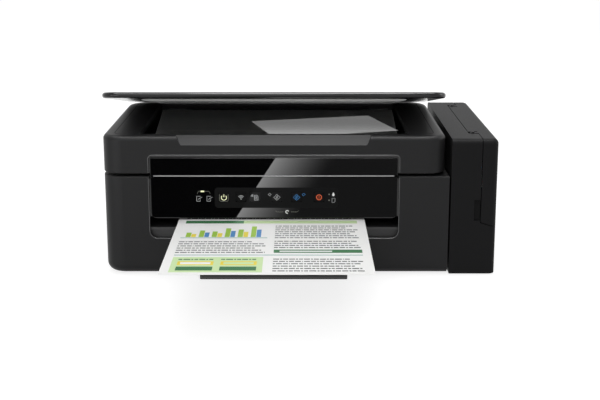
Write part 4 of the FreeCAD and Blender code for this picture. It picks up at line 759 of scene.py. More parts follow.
@dataclass
class PrintedSheet:
    """The sheet on its way out, with a plain layout of bars, boxes and rows of text strokes."""

    width: float = 0.210
    length: float = 0.297
    thickness: float = 0.14 * MM
    row_pitch: float = 8.0
    row_height: float = 3.3
    raster: float = 1.0
    cell: float = 9.0
    wave: float = 0.05 * MM
    white: Colour = (0.91, 0.91, 0.90)
    ink_grey: Colour = (0.09, 0.095, 0.095)
    forest: Colour = (0.02, 0.15, 0.045)
    lime: Colour = (0.30, 0.52, 0.035)
    pale: Colour = (0.60, 0.78, 0.42)
    teal: Colour = (0.03, 0.25, 0.22)
    sun: Colour = (0.80, 0.66, 0.05)
    sky: Colour = (0.05, 0.22, 0.50)

    def rows(self, x: Span, y: Span, colour: Colour) -> list[Block]:
        """Rows of strokes like lines of text: words of uneven length, on a raster along evenly spaced rows.

        Args:
            x: where the rows start and end.
            y: the height of the first row and the end of the last one.
            colour: the ink.

        Returns:
            One block per word.
        """
        blocks = []
        for number, low in enumerate(np.arange(y[0], y[1], self.row_pitch)):
            words = 5.2 + 2.6 * np.sin(np.arange(60) * 2.1 + 1.7 * number)
            starts = x[0] + np.round(np.cumsum(np.append(0.0, words)) / self.raster) * self.raster
            ends = starts[1:] - self.raster
            keep = ends < x[1] - 9.0 * (number % 3 == 2)
            blocks += [
                Block((start, end), (low, low + self.row_height), colour)
                for start, end in zip(starts[:-1][keep], ends[keep])
            ]
        return blocks

    def layout(self) -> list[Block]:
        """The print from the near edge to the far one, later blocks over earlier ones.

        Returns:
            The blocks, in millimetres on the sheet.
        """
        blocks = [Block((9, 100), (8, 60), self.pale)]
        for column, x in enumerate((15, 58)):
            blocks.append(Block((x, x + 36), (14, 27), self.forest))
            blocks.append(Block((x, x + 36), (32, 45), self.sun))
            blocks.append(Block((x + 3, x + 33), (35, 42), self.pale if column else self.white))
            blocks += self.rows((x, x + 36), (50, 55), self.forest)
        blocks += self.rows((110, 201), (11, 58), self.ink_grey)
        blocks.append(Block((9, 201), (66, 68), self.teal))
        blocks.append(Block((110, 201), (75, 87), self.forest))
        blocks.append(Block((116, 170), (79, 83), self.white))
        blocks += self.rows((9, 102), (75, 122), self.ink_grey)
        blocks += self.rows((110, 201), (93, 122), self.ink_grey)
        blocks.append(Block((9, 102), (131, 133), self.teal))
        for number, high in enumerate((18, 27, 23, 36, 31, 44)):
            low = 14 + 14 * number
            blocks.append(Block((low, low + 5.5), (135, 135 + high), self.lime))
            second = self.sky if number % 2 else self.sun
            blocks.append(Block((low + 6, low + 11), (135, 135 + 0.7 * high), second))
        blocks += self.rows((110, 201), (131, 183), self.ink_grey)
        blocks.append(Block((9, 201), (192, 204), self.pale))
        blocks.append(Block((9, 74), (192, 204), self.forest))
        blocks += self.rows((9, 201), (212, 280), self.ink_grey)
        return blocks

    def build(self) -> bpy.types.Object:
        """A thin closed sheet whose grid lines follow the print.

        The height is level plus a small product of sines across and along, so that the sheet isn't dead flat.

        Returns:
            The sheet.
        """
        low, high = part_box("printed_sheet")
        blocks = self.layout()
        steps = [np.arange(0, 210.1, self.cell), [210]] + [block.x for block in blocks]
        xs = np.unique(np.round(np.concatenate(steps), 3))
        steps = [np.arange(0, 297.1, self.cell), [297]] + [block.y for block in blocks]
        ys = np.unique(np.round(np.concatenate(steps), 3))
        x, y = np.meshgrid(xs, ys, indexing="ij")
        level = (low.z + high.z) / 2
        lift = self.wave * np.sin(x / 37.0) * np.sin(y / 53.0)
        across, along = low.x + x * MM, low.y + y * MM
        heights = (level + lift + side * self.thickness / 2 for side in (1, -1))
        layers = [np.stack([across, along, height], axis=-1).reshape(-1, 3) for height in heights]
        rows, columns = x.shape
        quads = grid_quads(rows, columns)
        count = rows * columns
        number = np.arange(count).reshape(rows, columns)
        rim = np.concatenate([number[0], number[1:, -1], number[-1, -2::-1], number[-2:0:-1, 0]])
        after = np.roll(rim, -1)
        edge = np.column_stack([rim, after, after + count, rim + count])
        faces = np.vstack([quads, quads[:, ::-1] + count, edge])
        middle_x = ((xs[:-1] + xs[1:]) / 2)[:, None] + np.zeros(columns - 1)
        middle_y = ((ys[:-1] + ys[1:]) / 2)[None, :] + np.zeros((rows - 1, 1))
        shade = np.tile(np.array(self.white), (rows - 1, columns - 1, 1))
        for block in blocks:
            inside = (middle_x > block.x[0]) & (middle_x < block.x[1])
            inside &= (middle_y > block.y[0]) & (middle_y < block.y[1])
            shade[inside] = block.colour
        colours = np.vstack([shade.reshape(-1, 3), np.tile(self.white, (len(faces) - len(quads), 1))])
        finish = FINISHES["paper"]
        sheet = make_piece("output_sheet", np.vstack(layers), faces.tolist(), finish, "sheet", "paper")
        layer = sheet.data.attributes.new("print", "FLOAT_COLOR", "CORNER")
        corner = np.repeat(np.column_stack([colours, np.ones(len(colours))]), 4, axis=0)
        layer.data.foreach_set("color", corner.ravel())
        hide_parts("printed_sheet")
        return sheet


@dataclass
class LidMat:
    """The foam mat under the lid, crowned and rounded at its edges."""

    raised: float = LID_RAISED
    near: float = -0.2225
    far: float = -0.0105
    top: float = -3.25 * MM
    thickness: float = 3.0 * MM
    crown: float = 0.25 * MM
    steps: int = 60

    def build(self) -> bpy.types.Object:
        """A pad in the lid's own plane, turned up with the lid.

        Each half is a grid from -1 to 1. Its height falls off towards the rim as the fourth root of one minus
        the distance to the rim to a high power, and a low dome is added on the face.

        Returns:
            The mat.
        """
        low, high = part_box("lid_mat")
        axis = joint("lid_swing")["pos_m"]
        half_x, half_y = (high.x - low.x) / 2, (self.far - self.near) / 2
        centre_x, centre_y = (high.x + low.x) / 2, (self.far + self.near) / 2
        steps = np.sin(np.linspace(-np.pi / 2, np.pi / 2, self.steps))
        u, v = np.meshgrid(steps, steps, indexing="ij")
        fall = (np.maximum(0, 1 - np.abs(u) ** 60) * np.maximum(0, 1 - np.abs(v) ** 45)) ** 0.5
        dome = self.crown * (1 - u**2) * (1 - v**2)
        half = (self.thickness - self.crown) / 2
        middle = self.top - half
        parts = []
        for sign in (1, -1):
            z = middle + sign * half * fall - (dome if sign < 0 else 0)
            flat = np.stack([u * half_x, centre_y + v * half_y, z], axis=-1).reshape(-1, 3)
            cos, sin = math.cos(self.raised), math.sin(self.raised)
            turned = np.column_stack(
                [
                    centre_x + flat[:, 0],
                    axis[1] + flat[:, 1] * cos + flat[:, 2] * sin,
                    axis[2] - flat[:, 1] * sin + flat[:, 2] * cos,
                ]
            )
            parts.append((turned, grid_quads(self.steps, self.steps)[:, ::sign].tolist()))
        points, faces = merged(parts)
        mat = make_piece("lid_foam_mat", points, faces, FINISHES["mat_white"], "lid", "mat_white", 60.0)
        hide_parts("lid_mat")
        return mat


class Mark(Enum):
    """What a key is marked with."""

    POWER = "power_button"
    WAVES = "wireless_button"
    PAGE = "network_button"
    MONO = "mono_copy_button"
    COLOUR = "colour_copy_button"
    STOP = "stop_button"


@dataclass
class ControlPanel:
    """Marks on the keys, the matte strip round them, indicator lights and the bright trims."""

    proud: float = 0.07 * MM
    strip_x: Span = (-96.2 * MM, 43.0 * MM)
    strip_z: Span = (78.7 * MM, 102.2 * MM)
    strip_thickness: float = 0.15 * MM
    strip_clear: float = 0.35 * MM
    strip_radius: float = 4.0 * MM
    trim_height: float = 1.3 * MM
    trim_proud: float = 0.5 * MM
    trim_x: Span = (-164.5 * MM, 105.5 * MM)
    # the pale, dim and white glows are painted brightness on printed signs and brackets that have no lamp; on
    # the two ink lamps the dim glow is the lamp's own
    pale: GlowingMark = GlowingMark("mark_pale", (0.42, 0.43, 0.44), 0.4, glow=0.15)
    dim: GlowingMark = GlowingMark("mark_dim", (0.21, 0.21, 0.18), 0.4, glow=0.12)
    white: GlowingMark = GlowingMark("mark_white", (0.75, 0.75, 0.75), 0.4, glow=0.2)
    warm: GlowingMark = GlowingMark("mark_warm", (0.86, 0.88, 0.55), 0.4, glow=0.6)
    blue: GlowingMark = GlowingMark("mark_blue", (0.03, 0.17, 0.42), 0.4, glow=0.5)
    red: GlowingMark = GlowingMark("mark_red", (0.72, 0.12, 0.04), 0.4, glow=0.55)
    strip_finish: MouldedPlastic = MouldedPlastic(
        "strip_matte", (0.0125, 0.0125, 0.013), 0.5, depth=1e-5, specular=0.01
    )
    trim_finish: MouldedPlastic = MouldedPlastic("trim_silver", (0.60, 0.60, 0.61), 0.3, depth=4e-6)

    def key_mark(self, mark: Mark) -> bpy.types.Object:
        """The printed sign on one key.

        Args:
            mark: which sign.

        Returns:
            The sign, on the key's own body.
        """
        low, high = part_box(mark.value)
        x, z = (low.x + high.x) / 2, (low.z + high.z) / 2
        far, near = low.y, low.y - self.proud
        lines = []
        finish = self.pale
        diamond = np.array([[4.1, 0], [0, 3.8], [-4.1, 0], [0, -3.8]]) * MM
        if mark is Mark.POWER:
            finish = self.warm
            lines.append(stroke(arc((x, z - 0.3 * MM), 2.9 * MM, 135, 405), 0.75 * MM, False, near, far))
            upright = np.array([[x, z + 0.2 * MM], [x, z + 3.4 * MM]])
            lines.append(stroke(upright, 0.75 * MM, False, near, far))
        elif mark is Mark.WAVES:
            for radius in (1.5, 2.9, 4.3):
                lines.append(stroke(arc((x, z - 2.4 * MM), radius * MM, 48, 132), 0.7 * MM, False, near, far))
            lines.append(plate(arc((x, z - 2.4 * MM), 0.6 * MM, 0, 345, 24), near, far))
        elif mark is Mark.PAGE:
            page = np.array([[-0.6, -3.2], [3.4, -3.2], [3.4, 1.2], [2.2, 2.4], [-0.6, 2.4]]) * MM + (x, z)
            lines.append(stroke(page, 0.5 * MM, True, near, far))
            for row in (-1.8, -0.5, 0.8):
                rule = np.array([[0.4, row], [2.4, row]]) * MM + (x, z)
                lines.append(stroke(rule, 0.45 * MM, False, near, far))
            for radius in (1.0, 2.0, 3.0):
                sign = arc((x - 1.6 * MM, z + 0.4 * MM), radius * MM, 95, 170, 12)
                lines.append(stroke(sign, 0.45 * MM, False, near, far))
        elif mark in (Mark.MONO, Mark.COLOUR):
            finish = self.blue if mark is Mark.COLOUR else self.pale
            side = 1 if mark is Mark.COLOUR else -1
            lines.append(stroke(0.9 * diamond + (x, z), 0.5 * MM, True, near, far))
            for step in (-1.0, 0.2, 1.4):
                bar = np.array([[-1.4, step - 1.0], [1.4, step + 0.6]]) * MM + (x, z)
                lines.append(stroke(bar, 0.42 * MM, False, near, far))
            small = 0.42 * diamond + (x + side * 8.0 * MM, z + 3.2 * MM)
            self.panel_mark(f"{mark.value}_start", stroke(small, 0.45 * MM, True, *self.faces()), finish)
        else:
            finish = self.red
            lines.append(stroke(arc((x, z), 2.9 * MM, 0, 345, 24), 0.65 * MM, True, near, far))
            wedge = np.array([[0, 1.5], [-1.4, -1.0], [1.4, -1.0]]) * MM
            lines.append(stroke(wedge + (x, z), 0.5 * MM, True, near, far))
        points, faces = merged(lines)
        bodies = frame["record"]["behaviour"]["bodies"]
        body = next(name for name, nodes in bodies.items() if mark.value in nodes)
        if mark is Mark.POWER:
            reach, drop = (high.x - low.x) / 2 - 1.6 * MM, (high.z - low.z) / 2 - 1.4 * MM
            bend = 1.1 * MM
            half = np.array([[reach, drop - bend], [reach, bend - drop], [reach - bend, -drop]])
            shape = np.vstack([half * (-1, 1), half[::-1]])
            bracket = stroke(shape + (x, z), 0.45 * MM, False, near, far)
            make_piece("power_bracket", *bracket, self.dim, body)
        return make_piece(f"{mark.value}_mark", points, faces, finish, body)

    def faces(self) -> Span:
        """The depths of a mark printed on the panel's strip: its face and its back."""
        back = self.strip_face()
        return back - self.proud, back

    def strip_face(self) -> float:
        """The depth of the strip's front face."""
        return self.face() - self.strip_thickness

    def face(self) -> float:
        """The depth of the panel's own front face."""
        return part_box("panel_header")[0].y

    def panel_mark(self, name: str, shape: tuple, finish: GlowingMark | None = None) -> bpy.types.Object:
        """A mark that stays with the panel."""
        return make_piece(name, *shape, finish or self.pale, "base")

    def build_strip(self) -> bpy.types.Object:
        """The matte strip: a grid of cells between the keys' edges, without the cells that the keys stand in.

        Returns:
            The strip.
        """
        boxes = [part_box(mark.value) for mark in Mark]
        clear = self.strip_clear
        low_z = min(low.z for low, _ in boxes) + MM - clear
        high_z = max(high.z for _, high in boxes) - MM + clear
        radius = self.strip_radius
        swing = np.linspace(0, np.pi / 2, 8)
        bend = radius * (1 - np.cos(swing))
        edges = sorted(edge for low, high in boxes for edge in (low.x + MM - clear, high.x - MM + clear))
        xs = np.concatenate([self.strip_x[0] + bend, edges, self.strip_x[1] - bend[::-1]])
        corner = radius * (1 - np.sin(swing))
        drop = np.concatenate([corner, np.zeros(len(edges)), corner[::-1]])
        x = np.repeat(xs[:, None], 4, axis=1)
        inner = [np.full(len(xs), edge) for edge in (low_z, high_z)]
        z = np.column_stack([self.strip_z[0] + drop, *inner, self.strip_z[1] - drop])
        rows, columns = x.shape
        layers = [
            np.column_stack([x.ravel(), np.full(x.size, depth), z.ravel()])
            for depth in (self.strip_face(), self.face())
        ]
        column, row = np.meshgrid(np.arange(rows - 1), np.arange(columns - 1), indexing="ij")
        keys = (column >= len(swing)) & (column < len(swing) + len(edges)) & ((column - len(swing)) % 2 == 0)
        keep = ~((row == 1) & keys).ravel()
        quads = grid_quads(rows, columns)[keep]
        edges = np.vstack([quads[:, [a, b]] for a, b in ((0, 1), (1, 2), (2, 3), (3, 0))])
        known = {tuple(edge) for edge in edges.tolist()}
        open_edges = np.array([edge for edge in edges.tolist() if (edge[1], edge[0]) not in known])
        rim = np.column_stack([open_edges, open_edges[:, ::-1] + x.size])
        faces = np.vstack([quads, quads[:, ::-1] + x.size, rim]).tolist()
        strip = make_piece("key_strip", np.vstack(layers), faces, self.strip_finish, "base", "panel_black")
        soft = strip.modifiers.new("soft_edge", "BEVEL")
        soft.width = 0.05 * MM
        soft.segments = 2
        return strip

    def build_lights(self) -> None:
        """The indicator bar with its two signs on the left, and two lamps with signs on the right."""
        near, far = self.face() - self.proud, self.face()
        bracket = np.array([[-115.8, 95.0], [-114.5, 97.9], [-102.5, 97.9], [-101.1, 95.0]]) * MM
        self.panel_mark("scan_bracket", stroke(bracket, 0.4 * MM, False, near, far), self.dim)
        bar = rounded_box((-111.9 * MM, -107.9 * MM), (97.0 * MM, 98.7 * MM), 0.6 * MM)
        self.panel_mark("scan_lamp", plate(bar, near - self.proud, far), self.warm)
        for number, x in enumerate((-113.5, -101.9)):
            page = np.array([[-3.0, -3.2], [1.0, -3.2], [1.0, -1.2]]) * MM + (x * MM, 89.6 * MM)
            back = np.array([[-3.0, -3.2], [-3.0, 2.6], [1.4, 2.6]]) * MM + (x * MM, 89.6 * MM)
            slope = np.array([[-1.4, -1.0], [3.2, 1.6]]) * MM + (x * MM, 89.6 * MM)
            lines = [stroke(line, 0.55 * MM, False, near, far) for line in (page, back, slope)]
            self.panel_mark(f"scan_sign_{number}", merged(lines))
        ends = ((-27.5, 1.4, -18.6), (-1.8, -1.4, -10.4))
        hooks = [np.array([[start, 75.4], [start + turn, 74.0], [end, 74.0]]) * MM for start, turn, end in ends]
        lines = [stroke(hook, 0.35 * MM, False, near, far) for hook in hooks]
        self.panel_mark("copy_bracket", merged(lines), self.dim)
        ring = stroke(arc((-14.5 * MM, 74.0 * MM), 1.6 * MM, 20, 300), 1.0 * MM, False, near, far)
        self.panel_mark("copy_ring", ring, self.white)
        near, far = self.faces()
        for number, z in enumerate((94.4, 87.6)):
            lamp = arc((32.8 * MM, z * MM), 0.8 * MM, 0, 345, 24)
            self.panel_mark(f"ink_lamp_{number}", plate(lamp, near, far), self.dim)
        turn = np.radians(np.arange(0, 360, 12))
        drop = np.column_stack([np.sin(turn) * np.sin(turn / 2) ** 1.2 * 1.9, -np.cos(turn) * 2.3]) * MM
        self.panel_mark("drop_sign", plate(drop * (1, -1) + (37.6 * MM, 94.6 * MM), near, far), self.white)
        page = np.array([[-1.7, -2.5], [0.6, -2.5], [1.7, -1.3], [1.7, 2.5], [-1.7, 2.5]]) * MM
        page += (37.8 * MM, 87.4 * MM)
        self.panel_mark("paper_sign", stroke(page, 0.5 * MM, True, near, far))

    def bar(self, x: Span, z: Span, near: float, far: float) -> tuple[np.ndarray, list]:
        """A bar across the front with a half-round face: a D-shaped profile carried along x.

        Args:
            x: the bar's ends.
            z: its low and high edges.
            near: how far forward its face comes.
            far: where its back lies.

        Returns:
            The points and faces.
        """
        turn = np.linspace(-np.pi / 2, np.pi / 2, 9)
        profile_y = far - (far - near) * np.sqrt(np.abs(np.cos(turn)))
        profile_z = sum(z) / 2 + (z[1] - z[0]) / 2 * np.sin(turn)
        count = len(turn)
        points = np.vstack([np.column_stack([np.full(count, end), profile_y, profile_z]) for end in x])
        faces = grid_quads(2, count, wrap=True).tolist()
        faces += [list(range(count)), list(range(2 * count - 1, count - 1, -1))]
        return points, faces

    def build_trim(self) -> None:
        """The silver line between the two panels."""
        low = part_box("panel_header")[0]
        span = (low.z - 0.1 * MM - self.trim_height, low.z - 0.1 * MM)
        shape = self.bar(self.trim_x, span, self.face() - self.trim_proud, self.face() + 2 * MM)
        make_piece("silver_trim", *shape, self.trim_finish, "base", "port_metal", 30.0)

    def build(self) -> None:
        """Build the panel's pieces in order."""
        self.build_strip()
        for mark in Mark:
            self.key_mark(mark)
        self.build_lights()
        self.build_trim()


@dataclass
class CarriageDampers:
    """The four ink dampers in the carriage's bay, each with the spout that its tube goes on."""

    start: float = 4.7 * MM
    width: float = 13.6 * MM
    gap: float = 0.7 * MM
    front: float = 5.0 * MM
    depth: float = 45.0 * MM
    floor: float = 8.1 * MM
    height: float = 23.0 * MM
    squareness: float = 0.22
    spout_radius: float = 1.9 * MM
    spout_height: float = 4.5 * MM

    def block(self, centre: np.ndarray, half: np.ndarray) -> tuple[np.ndarray, list]:
        """A box with soft edges: a sphere whose sines and cosines are raised to a low power.

        Args:
            centre: the block's middle.
            half: half its size along each axis.

        Returns:
            The points and faces.
        """
        rise, turn = np.linspace(-np.pi / 2, np.pi / 2, 25), np.linspace(0, 2 * np.pi, 48, False)
        up, round_ = np.meshgrid(rise, turn, indexing="ij")
        power = self.squareness
        soft_cos, soft_sin = (np.sign(f(round_)) * np.abs(f(round_)) ** power for f in (np.cos, np.sin))
        ring = np.abs(np.cos(up)) ** power
        tall = np.sign(up) * np.abs(np.sin(up)) ** power
        unit = np.stack([ring * soft_cos, ring * soft_sin, tall], axis=-1)
        return (centre + half * unit).reshape(-1, 3), grid_quads(25, 48, wrap=True).tolist()

    def spout(self, centre: np.ndarray) -> tuple[np.ndarray, list]:
        """A short barbed pipe: a stepped profile turned about an upright axis.

        Args:
            centre: the middle of the pipe's foot.

        Returns:
            The points and faces.
        """
        radius = self.spout_radius * np.array([0.0, 1.25, 1.25, 1.0, 1.0, 1.2, 0.85, 0.55, 0.55, 0.0])
        height = self.spout_height * np.array([0.0, 0.0, 0.2, 0.2, 0.7, 0.72, 1.0, 1.0, 0.6, 0.6])
        turn = np.linspace(0, 2 * np.pi, 24, False)
        x, y = (np.outer(radius, f(turn)) for f in (np.cos, np.sin))
        points = np.stack([x, y, np.repeat(height[:, None], 24, axis=1)], axis=-1)
        return (centre + points).reshape(-1, 3), grid_quads(len(radius), 24, wrap=True).tolist()

    def build(self) -> None:
        """Stand the dampers side by side in the bay."""
        corner = np.array(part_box("print_carriage")[0])
        half = np.array([self.width, self.depth, self.height]) / 2
        for number, ink in enumerate(Ink):
            low = corner + (self.start + number * (self.width + self.gap), self.front, self.floor)
            top = low + half + (0.0, 0.0, self.height / 2 - 0.3 * MM)
            points, faces = merged([self.block(low + half, half), self.spout(top)])
            slot = f"ink_{ink.name.lower()}"
            make_piece(f"damper_{ink.name.lower()}", points, faces, FINISHES[slot], "carriage", slot, 50.0)


@dataclass
class CaseTrim:
    """Mouldings and painted light on the case: the bead round the front opening, lighter than the case as a
    painted highlight; the groove round the scanner's bed as a painted dark line; painted shade in the tank's
    finger notch.
    """

    opening_x: Span = (-169.75 * MM, 111.25 * MM)
    opening_z: Span = (43.7 * MM, 139.0 * MM)
    low_radius: float = 8.5 * MM
    high_radius: float = 4.0 * MM
    seam_edge: float = 1.2 * MM
    bead_radius: float = 0.5 * MM
    groove_x: Span = (-209.6 * MM, 151.0 * MM)
    groove_front: float = 13.0 * MM
    groove_back: float = 24.0 * MM
    groove_radius: float = 12.0 * MM
    groove_width: float = 0.7 * MM
    groove_proud: float = 0.04 * MM
    notch_x: Span = (196.45 * MM, 203.4 * MM)
    notch_z: Span = (64.1 * MM, 87.9 * MM)
    notch_floor: float = 1.9 * MM
    notch_skin: float = 0.25 * MM
    # bead_finish: a glossy grey several times lighter than the case plastic, a painted highlight along the bead
    # on top of its real gloss
    bead_finish: PolishedPlastic = PolishedPlastic("bead_gloss_painted_highlight", (0.085, 0.085, 0.087), 0.22)
    # painted shade: a near-black finish that darkens the groove line and the notch's floor, where a real groove
    # and recess are dark only by shade
    painted_shade_finish: MouldedPlastic = MouldedPlastic("groove_painted_shade", (0.002, 0.002, 0.002), 0.7, specular=0.1)

    def build_bead(self) -> None:
        """The half-round bead round the opening, in one part on the case and one on the scanner; its grey,
        lighter than the case's, paints part of the highlight along its edge.
        """
        (left, right), (low, high), out = self.opening_x, self.opening_z, self.bead_radius
        left, right, low, high = left - out, right + out, low - out, high + out
        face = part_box("lower_case")[0].y
        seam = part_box("scanner_tub")[0].z
        deep, small = self.low_radius + out, self.high_radius + out
        lower = np.vstack(
            [
                [[left, seam - 3.4 * MM - self.seam_edge]],
                arc((left + deep, low + deep), deep, 180, 270, 12),
                arc((right - deep, low + deep), deep, 270, 360, 12),
                [[right, seam - 3.4 * MM - self.seam_edge]],
            ]
        )
        upper = np.vstack(
            [
                [[right, seam + self.seam_edge]],
                arc((right - small, high - small), small, 0, 90, 9),
                arc((left + small, high - small), small, 90, 180, 9),
                [[left, seam + self.seam_edge]],
            ]
        )
        make_piece("opening_bead_low", *bead(lower, out, face), self.bead_finish, "base", "case_grey", 50.0)
        high_bead = bead(upper, out, face)
        make_piece("opening_bead_high", *high_bead, self.bead_finish, "scanner_unit", "case_grey", 50.0)

    def build_groove(self) -> None:
        """The groove round the bed's flat top as painted shade: a near-black line laid on the flat top."""
        low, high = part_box("scanner_case")
        loop = rounded_box(
            self.groove_x, (low.y + self.groove_front, high.y - self.groove_back), self.groove_radius, 12
        )
        over, under = high.z + self.groove_proud, high.z - self.groove_proud
        shape = stroke(loop, self.groove_width, True, over, under, Plane.TOP)
        make_piece("bed_groove_painted_shade", *shape, self.painted_shade_finish, "scanner_unit", "inner_black")

    def build_notch(self) -> None:
        """Painted shade in the finger notch beside the tank's cover: a thin near-black plate on the notch's
        floor.
        """
        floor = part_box("tank_housing")[0].y + self.notch_floor
        notch_shade = plate(rounded_box(self.notch_x, self.notch_z, 1.5 * MM), floor - self.notch_skin, floor)
        make_piece("notch_painted_shade", *notch_shade, self.painted_shade_finish, "base", "inner_black")

    def build(self) -> None:
        """Build the bead, the painted shade of the groove and the painted shade in the notch."""
        self.build_bead()
        self.build_groove()
        self.build_notch()


@dataclass
class Studio:
    """Camera, floor, soft lights and two glowing cards that paint reflections: a band on the panel and a patch
    on the glass.
    """

    focal_pixels: float = 1180.0
    picture_width: float = 600.0
    sensor: float = 36.0
    place: Colour = (0.0, -1.3395, 0.4041)
    pitch: float = 13.75
    ambient: float = 0.5
    floor_shade: float = 0.4
    floor_glow: float = 0.8

    def build_camera(self) -> None:
        """A long lens in front of the printer, looking a little down."""
        lens = bpy.data.cameras.new("front_camera")
        lens.sensor_width = self.sensor
        lens.lens = self.sensor * self.focal_pixels / self.picture_width
        camera = bpy.data.objects.new("front_camera", lens)
        camera.location = self.place
        camera.rotation_euler = (math.radians(90 - self.pitch), 0, 0)
        bpy.context.scene.collection.objects.link(camera)
        bpy.context.scene.camera = camera

    def build_world(self) -> None:
        """White to the eye, in reflections and through glass, and dimmer as soft light."""
        world = bpy.data.worlds.new("studio")
        bpy.context.scene.world = world
        world.use_nodes = True
        tree = world.node_tree
        ground = tree.nodes["Background"]
        path = tree.nodes.new("ShaderNodeLightPath")
        shiny, seen = (tree.nodes.new("ShaderNodeMath") for _ in range(2))
        shiny.operation = seen.operation = "MAXIMUM"
        tree.links.new(path.outputs["Is Glossy Ray"], shiny.inputs[0])
        tree.links.new(path.outputs["Is Transmission Ray"], shiny.inputs[1])
        tree.links.new(path.outputs["Is Camera Ray"], seen.inputs[0])
        tree.links.new(shiny.outputs[0], seen.inputs[1])
        level = tree.nodes.new("ShaderNodeMix")
        level.inputs[2].default_value = self.ambient
        level.inputs[3].default_value = 1.0
        tree.links.new(seen.outputs[0], level.inputs[0])
        tree.links.new(level.outputs[0], ground.inputs["Strength"])
        ground.inputs["Color"].default_value = (1.0, 1.0, 1.0, 1.0)

    def stage_sheet(self, name: str, corners: np.ndarray, shader: Shader) -> bpy.types.Object:
        """One flat four-cornered sheet that belongs to the studio.

        Args:
            name: the sheet's name.
            corners: its four corners.
            shader: its material.

        Returns:
            The sheet.
        """
        mesh = bpy.data.meshes.new(name)
        mesh.from_pydata(corners.tolist(), [], [(0, 1, 2, 3)])
        mesh.materials.append(shader.material)
        sheet = bpy.data.objects.new(name, mesh)
        bpy.context.scene.collection.objects.link(sheet)
        return sheet

    def build_floor(self) -> None:
        """A pale floor, white to the eye, in reflections and through glass but for the shadow it keeps."""
        reach = 6.0
        corners = np.array([(-reach, -reach, 0), (reach, -reach, 0), (reach, reach, 0), (-reach, reach, 0)])
        shader = Shader("floor_pale")
        path = shader.add("ShaderNodeLightPath").outputs
        shiny = shader.math("MAXIMUM", path["Is Glossy Ray"], path["Is Transmission Ray"])
        eye = shader.math("MAXIMUM", path["Is Camera Ray"], shiny)
        shader.set(
            Base_Color=(self.floor_shade, self.floor_shade, self.floor_shade, 1.0),
            Roughness=0.9,
            Specular_IOR_Level=0.0,
            Emission_Color=(1.0, 1.0, 1.0, 1.0),
            Emission_Strength=shader.math("MULTIPLY", eye, self.floor_glow),
        )
        self.stage_sheet("floor", corners, shader)

    def fade(self, shader: Shader, value: object, places: Span, glow: Span) -> bpy.types.NodeSocket:
        """Nothing before the first place, then a brightness that falls as a square to the second one.

        Args:
            shader: the card's material.
            value: the place along the card.
            places: where the brightness starts and where it has fallen.
            glow: the brightness at each of them.

        Returns:
            The socket that holds the brightness.
        """
        past = shader.math("GREATER_THAN", value, places[0])
        share = shader.math("POWER", shader.spread(value, 1.0, 0.0, *places), 2.0)
        bright = shader.math("ADD", shader.math("MULTIPLY", share, glow[0] - glow[1]), glow[1])
        return shader.math("MULTIPLY", bright, past)

    def card(self, name: str, corners: list, way: Colour, places: Span, glow: Span) -> None:
        """A glowing card that shows only in reflections, brighter at one side than at the other; laid just over
        a surface, it paints a reflection onto it.

        Args:
            name: the card's name.
            corners: four corners as x, y, z.
            way: the direction in which the brightness changes.
            places: two places along that direction.
            glow: the brightness at each of them.
        """
        shader = Shader(name)
        along = shader.add("ShaderNodeVectorMath", {0: shader.place, 1: way}, operation="DOT_PRODUCT")
        shader.set(
            Base_Color=(0.0, 0.0, 0.0, 1.0),
            Specular_IOR_Level=0.0,
            Emission_Color=(1.0, 1.0, 1.0, 1.0),
            Emission_Strength=self.fade(shader, along.outputs["Value"], places, glow),
        )
        card = self.stage_sheet(name, np.array(corners), shader)
        for kind in ("camera", "diffuse", "transmission", "shadow", "volume_scatter"):
            setattr(card, f"visible_{kind}", False)

    def lamp(
        self, name: str, place: Colour, aim: Colour, size: Span, radiance: float, gloss_only: bool = False
    ) -> None:
        """A rectangular soft box.

        Args:
            name: the lamp's name.
            place: its centre.
            aim: the point that it faces.
            size: its width and height.
            radiance: how bright its face is, where 1 is as bright as the white background.
            gloss_only: whether it shows only in reflections.
        """
        light = bpy.data.lights.new(name, "AREA")
        light.shape = "RECTANGLE"
        light.size, light.size_y = size
        light.energy = radiance * math.pi * size[0] * size[1]
        lamp = bpy.data.objects.new(name, light)
        lamp.location = place
        lamp.visible_camera = False
        lamp.visible_diffuse = not gloss_only
        way = np.array(aim) - np.array(place)
        flat = math.hypot(way[0], way[1])
        lamp.rotation_euler = (math.atan2(flat, -way[2]), 0, math.atan2(way[1], way[0]) - math.pi / 2)
        bpy.context.scene.collection.objects.link(lamp)

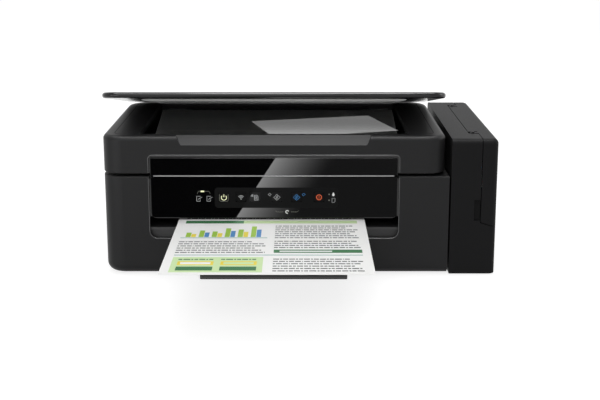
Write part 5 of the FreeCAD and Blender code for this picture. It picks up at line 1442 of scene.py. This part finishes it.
    def build(self) -> None:
        """Set up the view, the surroundings, the lamps, and the cards that paint the reflections on the panel
        and the glass.
        """
        self.build_camera()
        self.build_world()
        self.build_floor()
        self.lamp("overhead_box", (0.0, 0.05, 1.5), (0.0, 0.0, 0.1), (1.5, 0.35), 4.2)
        self.lamp("front_box", (-0.5, -1.7, 1.1), (0.0, -0.05, 0.1), (1.2, 0.6), 3.4)
        self.lamp("front_low", (0.0, -2.3, 0.16), (0.0, -0.05, 0.14), (2.2, 0.26), 1.4)
        self.lamp("edge_strip", (0.0, 0.0, 1.45), (0.0, -0.05, 0.1), (1.8, 0.4), 17.0, gloss_only=True)
        self.lamp("recess_box", (0.0, -0.62, 1.4), (0.0, -0.05, 0.15), (0.5, 0.45), 24.0, gloss_only=True)
        self.lamp("left_soft", (-0.8, -0.75, 0.09), (-0.2, -0.05, 0.1), (0.7, 0.17), 6.0, gloss_only=True)
        self.lamp("right_strip", (1.4, 0.2, 0.4), (0.2, -0.05, 0.1), (0.4, 1.0), 1.5, gloss_only=True)
        self.lamp("right_fill", (2.0, 0.4, 0.9), (0.2, 0.05, 0.1), (1.2, 0.8), 1.6)
        self.lamp("back_fill", (0.2, 1.5, 1.9), (0.0, 0.2, 0.1), (1.4, 0.8), 1.4)
        # painted reflections: glowing cards 1.5 mm in front of the panel and 0.7 mm above the scanner glass,
        # seen only in reflections, paint a diagonal band on the panel and a patch on the glass
        face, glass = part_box("panel_header")[0].y - 1.5 * MM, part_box("scanner_glass")[1].z + 0.7 * MM
        self.card(
            "panel_painted_reflection",
            [(-0.168, face, 0.1362), (0.110, face, 0.1362), (0.110, face, 0.0672), (-0.168, face, 0.0672)],
            (1.0, 0.0, -0.65),
            (-0.1157, -0.045),
            (5.4, 0.16),
        )
        self.card(
            "glass_painted_reflection",
            [(x, y, glass) for x, y in ((-0.0594, 0.073), (0.0849, 0.114), (0.114, 0.010), (-0.0288, -0.035))],
            (0.0, 1.0, 0.0),
            (-0.05, 0.07),
            (1.5, 0.4),
        )
        bpy.context.scene.view_settings.view_transform = "Standard"


def main() -> None:
    """Dress the solids, build the pieces and set up the studio."""
    logging.basicConfig(level=logging.INFO, format="%(message)s")
    CadNodes().dress()
    PrintedSheet().build()
    LidMat().build()
    ControlPanel().build()
    CarriageDampers().build()
    CaseTrim().build()
    Studio().build()


if __name__ == "__main__":
    main()
